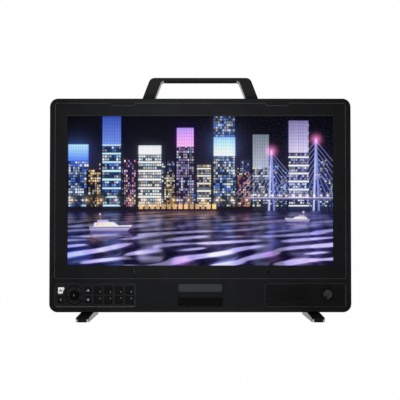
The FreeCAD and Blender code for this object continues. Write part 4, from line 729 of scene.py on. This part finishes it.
def paint_bridge(canvas):
    """A cable-stayed bridge that leaves the town on the right."""
    deck = WATERLINE + 0.75
    steel = (0.38, 0.42, 0.80)
    for pylon, height in ((12.3, 3.6), (15.0, 4.3)):
        top = WATERLINE + height
        for aside, colour in ((-0.16, (0.55, 0.60, 0.98)), (0.16, (0.28, 0.32, 0.62))):
            canvas.paint(canvas.stroke((pylon + aside, WATERLINE - 0.1), (pylon, top), 0.11), colour)
        for stay in range(1, 9):
            for side in (-1, 1):
                foot = (pylon + side * stay * 0.165 * height / 2.0, deck)
                head = (pylon, deck + (top - deck) * (0.30 + 0.085 * stay))
                canvas.paint(canvas.stroke(foot, head, 0.030), steel, 0.75)
        canvas.shine(canvas.glow(pylon, top, 0.28), (0.7, 0.25, 0.5))
    canvas.bar(10.9, PICTURE_WIDE, deck - 0.09, deck + 0.02, (0.10, 0.10, 0.22))
    canvas.bar(10.9, PICTURE_WIDE, deck + 0.02, deck + 0.06, (0.70, 0.66, 0.95))
    for lamp in np.arange(11.1, PICTURE_WIDE, 0.42):
        canvas.shine(canvas.glow(lamp, deck + 0.16, 0.07), (1.0, 0.80, 0.55))


def paint_quay(canvas, rng):
    """The quay wall with its trees, lamps and a lit arcade."""
    canvas.bar(0.0, 11.2, WATERLINE - 0.02, WATERLINE + 0.26, (0.016, 0.013, 0.026))
    for bay in np.arange(4.3, 8.9, 0.34):
        glow = np.array((0.85, 0.60, 0.34)) * rng.uniform(0.5, 1.1)
        canvas.bar(bay, bay + 0.24, WATERLINE + 0.10, WATERLINE + 0.40, glow)
    for trunk in (0.5, 1.35, 2.1, 3.2, 9.4, 10.2):
        for _ in range(26):
            spread = rng.normal(0.0, 0.17, 2)
            leaf = np.array((0.010, 0.020, 0.030)) * rng.uniform(0.5, 2.6)
            spot = canvas.disc(trunk + spread[0], WATERLINE + 0.72 + spread[1], rng.uniform(0.05, 0.11))
            canvas.paint(spot, leaf, 0.9)
        canvas.bar(trunk - 0.025, trunk + 0.025, WATERLINE + 0.1, WATERLINE + 0.6, (0.012, 0.010, 0.014))
    for lamp in np.arange(0.25, 11.0, 0.88):
        canvas.bar(lamp - 0.012, lamp + 0.012, WATERLINE + 0.2, WATERLINE + 0.62, (0.05, 0.04, 0.06))
        canvas.shine(canvas.disc(lamp, WATERLINE + 0.64, 0.05), (1.0, 0.86, 0.66))
        canvas.shine(canvas.glow(lamp, WATERLINE + 0.64, 0.20), (0.30, 0.20, 0.10))


def mirrored(canvas, light, level, swell, stretch, sway):
    """light as still water at that level would mirror it, pushed about by the swell."""
    source_y = level + (level - canvas.y) * stretch + sway * swell
    source_x = canvas.x + sway * swell
    rows = np.clip((source_y / PICTURE_HIGH * canvas.rows).astype(int), 0, canvas.rows - 1)
    columns = np.clip((source_x / PICTURE_WIDE * canvas.columns).astype(int), 0, canvas.columns - 1)
    return light[rows, columns]


def make_swell(canvas, rng):
    """How near each place of the water is, and its waves, which grow longer as they come near."""
    near = np.clip((WATERLINE - canvas.y) / WATERLINE, 0.0, 1.0)
    far = np.log(0.12 + near)
    swell = np.zeros_like(canvas.x)
    for _ in range(16):
        pull = rng.uniform(0.4, 2.6)
        swell += np.sin(pull * canvas.x + rng.uniform(14.0, 52.0) * far + rng.uniform(0.0, 6.3))
    return near, swell / 4.0


def paint_water(canvas, near, swell):
    """The town mirrored in moving water, with broad pale ripples close by."""
    tint = np.array((0.74, 0.68, 1.00))
    smooth = soften(canvas.light, 5)
    depth = near[..., None]
    image = mirrored(canvas, smooth, WATERLINE, swell, 1.30, 0.03 + 0.20 * near)
    water = image * tint * (1.0 - 0.35 * depth)
    water += np.array((0.006, 0.006, 0.022)) + depth * np.array((0.008, 0.006, 0.024))
    water *= 0.80 - 0.55 * np.clip(-swell, 0.0, 1.0)[..., None]
    crest = np.clip(swell * 3.0 - 0.80, 0.0, 1.0) * np.clip(near * 2.2 - 0.30, 0.0, 1.0)
    patchy = 0.45 + 0.55 * np.sin(0.47 * canvas.x + 0.5) ** 2
    water += (crest * patchy)[..., None] * np.array((0.56, 0.52, 0.80))
    canvas.light = np.where((canvas.y < WATERLINE)[..., None], water, canvas.light)


def paint_boat(canvas, swell, stern, level, length, facing):
    """A moored motor boat and its reflection; facing is +1 for a bow on the right and -1 for the left."""
    def place(along, up):
        return (stern + facing * along * length, level + up * length)

    def shape(points):
        corners = [place(*point) for point in points]
        return canvas.inside(corners if facing > 0 else corners[::-1])

    shade = np.clip((canvas.y - level) / (0.15 * length), 0.0, 1.0)[..., None]
    hull = np.array((0.22, 0.20, 0.42)) + shade * np.array((0.62, 0.62, 0.50))
    mask = shape([(0.02, 0.0), (0.88, 0.0), (1.0, 0.15), (0.0, 0.11)])[..., None]
    canvas.light += mask * (hull - canvas.light)
    canvas.paint(shape([(0.01, 0.075), (0.93, 0.085), (0.95, 0.105), (0.01, 0.095)]), (0.05, 0.06, 0.16))
    canvas.paint(shape([(0.10, 0.11), (0.70, 0.13), (0.56, 0.215), (0.12, 0.205)]), (0.74, 0.74, 0.92))
    for window in range(4):
        near_end = 0.15 + 0.105 * window
        lamp = np.array((1.0, 0.74, 0.40)) * (0.75 + 0.12 * window)
        canvas.paint(shape([(near_end, 0.14), (near_end + 0.085, 0.142), (near_end + 0.08, 0.19),
                            (near_end + 0.005, 0.188)]), lamp)
    canvas.paint(shape([(0.18, 0.205), (0.48, 0.213), (0.42, 0.265), (0.20, 0.26)]), (0.50, 0.50, 0.72))
    canvas.paint(canvas.stroke(place(0.70, 0.175), place(0.98, 0.19), 0.012), (0.45, 0.45, 0.62))
    canvas.paint(canvas.stroke(place(0.27, 0.26), place(0.25, 0.40), 0.018), (0.42, 0.42, 0.60))
    canvas.shine(canvas.glow(*place(0.25, 0.40), 0.05), (0.9, 0.85, 0.8))
    below = level - canvas.y
    ends = sorted((place(0.0, 0.0)[0], place(1.0, 0.0)[0]))
    within = (below > 0.0) & (canvas.x > ends[0]) & (canvas.x < ends[1])
    fade = np.where(within, 0.8 * np.exp(-below / (0.16 * length)), 0.0)[..., None]
    image = mirrored(canvas, canvas.light, level, swell, 1.2, 0.05) * np.array((0.55, 0.52, 0.80))
    canvas.light += fade * (image - canvas.light)


def picture_light():
    """The finished picture as rows of linear light, lowest row first."""
    rng = np.random.default_rng(PICTURE_SEED)
    canvas = Canvas(PICTURE_COLUMNS * PICTURE_FINER, PICTURE_ROWS * PICTURE_FINER)
    paint_sky(canvas)
    paint_town(canvas, rng)
    paint_bridge(canvas)
    paint_quay(canvas, rng)
    near, swell = make_swell(canvas, rng)
    paint_water(canvas, near, swell)
    paint_boat(canvas, swell, 14.6, 2.62, 1.5, -1)
    paint_boat(canvas, swell, 1.3, 2.05, 2.6, 1)
    bright = np.clip(canvas.light - 0.45, 0.0, 1.0)
    light = canvas.light + 0.30 * soften(bright, 4) + 0.22 * soften(bright, 16)
    light = 1.18 * np.clip(light, 0.0, None) ** 1.22
    light *= 1.0 + 0.05 * rng.standard_normal(light.shape[:2])[..., None]
    cells = light.reshape(PICTURE_ROWS, PICTURE_FINER, PICTURE_COLUMNS, PICTURE_FINER, 3)
    return np.clip(cells.mean(axis=(1, 3)), 0.0, 1.0)


def add_picture():
    """The lit picture, a fine grid just inside the back of the front glass, coloured cell by cell."""
    _, glass_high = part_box("front_glass")
    front = glass_high.y - PICTURE_DEPTH
    across = np.linspace(SCREEN_LOW.x, SCREEN_HIGH.x, PICTURE_COLUMNS + 1)
    up = np.linspace(SCREEN_LOW.z, SCREEN_HIGH.z, PICTURE_ROWS + 1)
    corners = [(x, front, z) for z in up for x in across]
    stride = PICTURE_COLUMNS + 1
    cells = []
    for row in range(PICTURE_ROWS):
        for column in range(PICTURE_COLUMNS):
            start = row * stride + column
            cells.append((start, start + 1, start + 1 + stride, start + stride))
    mesh = bpy.data.meshes.new("screen_picture")
    mesh.from_pydata(corners, [], cells)
    light = picture_light().reshape(-1, 3)
    shades = np.ones((len(cells), 4, 4), np.float32)
    shades[:, :, :3] = light[:, None, :]
    attribute = mesh.color_attributes.new("light", "FLOAT_COLOR", "CORNER")
    attribute.data.foreach_set("color", shades.ravel())
    piece = bpy.data.objects.new("screen_picture", mesh)
    bpy.context.scene.collection.objects.link(piece)
    mesh.materials.append(lit_picture())
    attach(piece, "chassis")


# Printed marks


def add_mark(name, mesh, body, node, offset, material, behind=False):
    """A flat printed mark, offset mm from the middle of a node's front (or rear) face, riding on its body."""
    low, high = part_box(node)
    side = -1 if behind else 1
    for vertex in mesh.vertices:
        across, up = vertex.co.x, vertex.co.y
        vertex.co = Vector((
            (low.x + high.x) / 2 + side * (offset[0] + across) * MM,
            high.y + PRINT_LIFT if behind else low.y - PRINT_LIFT,
            (low.z + high.z) / 2 + (offset[1] + up) * MM,
        ))
    piece = bpy.data.objects.new(name, mesh)
    bpy.context.scene.collection.objects.link(piece)
    mesh.materials.append(material)
    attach(piece, body)


def digit_mesh(name, digit, size):
    """A digit as a flat mesh, size mm high in its line, centred."""
    curve = bpy.data.curves.new(name, "FONT")
    curve.body = str(digit)
    curve.size = size
    curve.offset = 0.03 * size
    curve.align_x = "CENTER"
    curve.align_y = "CENTER"
    source = bpy.data.objects.new(name + "_source", curve)
    bpy.context.scene.collection.objects.link(source)
    bpy.context.view_layer.update()
    mesh = bpy.data.meshes.new_from_object(source.evaluated_get(bpy.context.evaluated_depsgraph_get()))
    bpy.data.objects.remove(source)
    bpy.data.curves.remove(curve)
    return mesh


def outline_mesh(name, outlines):
    """Flat faces, one for each outline of corners in mm."""
    corners = []
    faces = []
    for outline in outlines:
        faces.append(range(len(corners), len(corners) + len(outline)))
        corners.extend((x, y, 0.0) for x, y in outline)
    mesh = bpy.data.meshes.new(name)
    mesh.from_pydata(corners, [], faces)
    return mesh


def key_signs():
    """Each sign's name, key, place on it in mm, print, slot, and outlines in mm."""
    # The select button's painted glint: a tall narrow spot left of its middle
    half_width, half_height = SELECT_GLINT
    turns = [math.tau * corner / GLINT_CORNERS for corner in range(GLINT_CORNERS)]
    spot = [(half_width * math.cos(turn), half_height * math.sin(turn)) for turn in turns]
    house = [
        [(-2.3, -0.1), (2.3, -0.1), (0.0, 2.2)],
        [(-1.6, -2.0), (-0.5, -2.0), (-0.5, -0.1), (-1.6, -0.1)],
        [(0.5, -2.0), (1.6, -2.0), (1.6, -0.1), (0.5, -0.1)],
    ]
    chevron = [
        [(-1.5, 0.0), (0.7, 2.2), (1.4, 1.6), (-0.1, 0.0)],
        [(-1.5, 0.0), (-0.1, 0.0), (1.4, -1.6), (0.7, -2.2)],
    ]
    arrow_up = [
        [(-2.2, -1.4), (2.2, -1.4), (2.2, -0.8), (-2.2, -0.8)],
        [(-1.8, -0.3), (1.8, -0.3), (0.0, 2.0)],
    ]
    arrow_down = [
        [(-1.8, 0.7), (1.8, 0.7), (1.8, 1.3), (-1.8, 1.3)],
        [(-1.7, 0.2), (0.0, -1.9), (1.7, 0.2)],
    ]
    return (
        # A painted glint on the select button, in the grey of the prints
        ("painted_select_glint", "select_button", (-0.7, 0.0), "grey_print_and_glint", "ring_plastic", [spot]),
        ("mark_home", "home_button", (-0.9, 0.1), "print_dark", "home_plastic", house),
        ("mark_back", "back_button", (-0.6, 0.0), "grey_print_and_glint", "key_plastic", chevron),
        ("mark_page_up", "page_up_button", (0.4, 0.2), "print_white", "key_plastic", arrow_up),
        ("mark_page_down", "page_down_button", (0.4, 0.1), "print_white", "key_plastic", arrow_down),
    )


def add_marks(materials):
    """Plain digits on the function keys and over the jacks, plain signs on the other keys, and a painted
    glint on the select button.
    """
    for number in range(1, 2 * KEYS_IN_ROW + 1):
        name = f"mark_{number}"
        key = f"function_button_{number}"
        place = (KEY_DIGIT_ASIDE, -KEY_DIGIT_UP if number <= KEYS_IN_ROW else KEY_DIGIT_UP)
        mesh = digit_mesh(name, number, KEY_DIGIT)
        add_mark(name, mesh, key, key, place, materials["grey_print_and_glint"])
    for number in range(1, JACKS + 1):
        name = f"mark_jack_{number}"
        place = (JACK_FIRST + JACK_PITCH * (number - 1), JACK_MARK_UP)
        mesh = digit_mesh(name, number, JACK_DIGIT)
        add_mark(name, mesh, "chassis", "io_plate", place, materials["print_white"], True)
    for name, key, place, ink, slot, outlines in key_signs():
        add_mark(name, outline_mesh(name, outlines), key, key, place, materials[ink])


# Studio


def add_camera():
    """The photograph's camera: square on, a little below the middle, looking slightly up."""
    data = bpy.data.cameras.new("camera")
    data.sensor_width = CAMERA_SENSOR
    data.lens = CAMERA_LENS
    data.clip_end = CAMERA_REACH
    camera = bpy.data.objects.new("camera", data)
    camera.location = CAMERA_PLACE
    camera.rotation_euler = (math.radians(90.0 + CAMERA_PITCH), 0.0, -math.radians(CAMERA_YAW))
    bpy.context.scene.collection.objects.link(camera)
    bpy.context.scene.camera = camera


def seen_directly(tree):
    """1 for rays that show the background itself: from the camera, a gloss or a clear piece."""
    path = tree.nodes.new("ShaderNodeLightPath")
    total = path.outputs["Is Camera Ray"]
    for name in ("Is Glossy Ray", "Is Transmission Ray"):
        highest = tree.nodes.new("ShaderNodeMath")
        highest.operation = "MAXIMUM"
        tree.links.new(total, highest.inputs[0])
        tree.links.new(path.outputs[name], highest.inputs[1])
        total = highest.outputs[0]
    return total


def add_world():
    """A white surround that lights the object softly."""
    world = bpy.data.worlds.new("studio")
    bpy.context.scene.world = world
    world.use_nodes = True
    tree = world.node_tree
    tree.nodes.clear()
    soft = tree.nodes.new("ShaderNodeBackground")
    soft.inputs["Color"].default_value = (1.0, 1.0, 1.0, 1.0)
    soft.inputs["Strength"].default_value = WORLD_LEVEL
    white = tree.nodes.new("ShaderNodeBackground")
    white.inputs["Color"].default_value = (1.0, 1.0, 1.0, 1.0)
    white.inputs["Strength"].default_value = 1.0
    both = tree.nodes.new("ShaderNodeMixShader")
    output = tree.nodes.new("ShaderNodeOutputWorld")
    tree.links.new(seen_directly(tree), both.inputs["Fac"])
    tree.links.new(soft.outputs["Background"], both.inputs[1])
    tree.links.new(white.outputs["Background"], both.inputs[2])
    tree.links.new(both.outputs["Shader"], output.inputs["Surface"])


def add_floor():
    """A plain white floor that reads as white and keeps a faint shadow."""
    half = FLOOR_SIZE / 2
    corners = [(-half, -half, 0), (half, -half, 0), (half, half, 0), (-half, half, 0)]
    mesh = bpy.data.meshes.new("floor")
    mesh.from_pydata(corners, [], [(0, 1, 2, 3)])
    floor = bpy.data.objects.new("floor", mesh)
    bpy.context.scene.collection.objects.link(floor)
    material, tree, surface = new_material("floor_white")
    surface.inputs["Base Color"].default_value = (*FLOOR_WHITE, 1.0)
    surface.inputs["Roughness"].default_value = 0.9
    surface.inputs["Specular IOR Level"].default_value = 0.1
    glow = tree.nodes.new("ShaderNodeEmission")
    glow.inputs["Strength"].default_value = 1.0
    both = tree.nodes.new("ShaderNodeMixShader")
    tree.links.new(ranged(tree, seen_directly(tree), 0.0, FLOOR_GLOW, 0.0, 1.0), both.inputs["Fac"])
    tree.links.new(surface.outputs["BSDF"], both.inputs[1])
    tree.links.new(glow.outputs["Emission"], both.inputs[2])
    tree.links.new(both.outputs["Shader"], tree.nodes["Material Output"].inputs["Surface"])
    mesh.materials.append(material)


def add_lamp(name, place, aim, size, power):
    """A soft rectangular lamp at place, turned to aim; size in metres, power in watts."""
    data = bpy.data.lights.new(name, "AREA")
    data.shape = "RECTANGLE"
    data.size, data.size_y = size
    data.energy = power
    lamp = bpy.data.objects.new(name, data)
    lamp.location = place
    lamp.rotation_euler = (Vector(aim) - Vector(place)).to_track_quat("-Z", "Y").to_euler()
    bpy.context.scene.collection.objects.link(lamp)
    return lamp


def add_lamps():
    """A near soft lamp before the front, a broad one above, and others from the left and behind.

    The near one stands before the screen, so neither the camera nor a reflection shows it."""
    front = add_lamp("front_lamp", place=(-0.025, -0.28, 0.24), aim=(-0.025, 0.0, 0.21), size=(0.20, 0.15),
                     power=1.15)
    front.visible_camera = False
    front.visible_glossy = False
    add_lamp("top_lamp", place=(-0.05, -0.10, 1.30), aim=(0.0, 0.0, 0.15), size=(1.1, 0.7), power=4.5)
    add_lamp("left_lamp", place=(-1.20, -0.70, 0.70), aim=(0.0, 0.0, 0.16), size=(0.6, 0.6), power=0.5)
    add_lamp("back_lamp", place=(0.30, 1.30, 0.90), aim=(0.0, 0.0, 0.15), size=(0.9, 0.6), power=8.0)


all_materials = make_materials()
dress_nodes(all_materials)
add_grip_pad(all_materials)
add_picture()
add_marks(all_materials)
add_camera()
add_world()
add_floor()
add_lamps()
bpy.context.scene.view_settings.view_transform = "Standard"
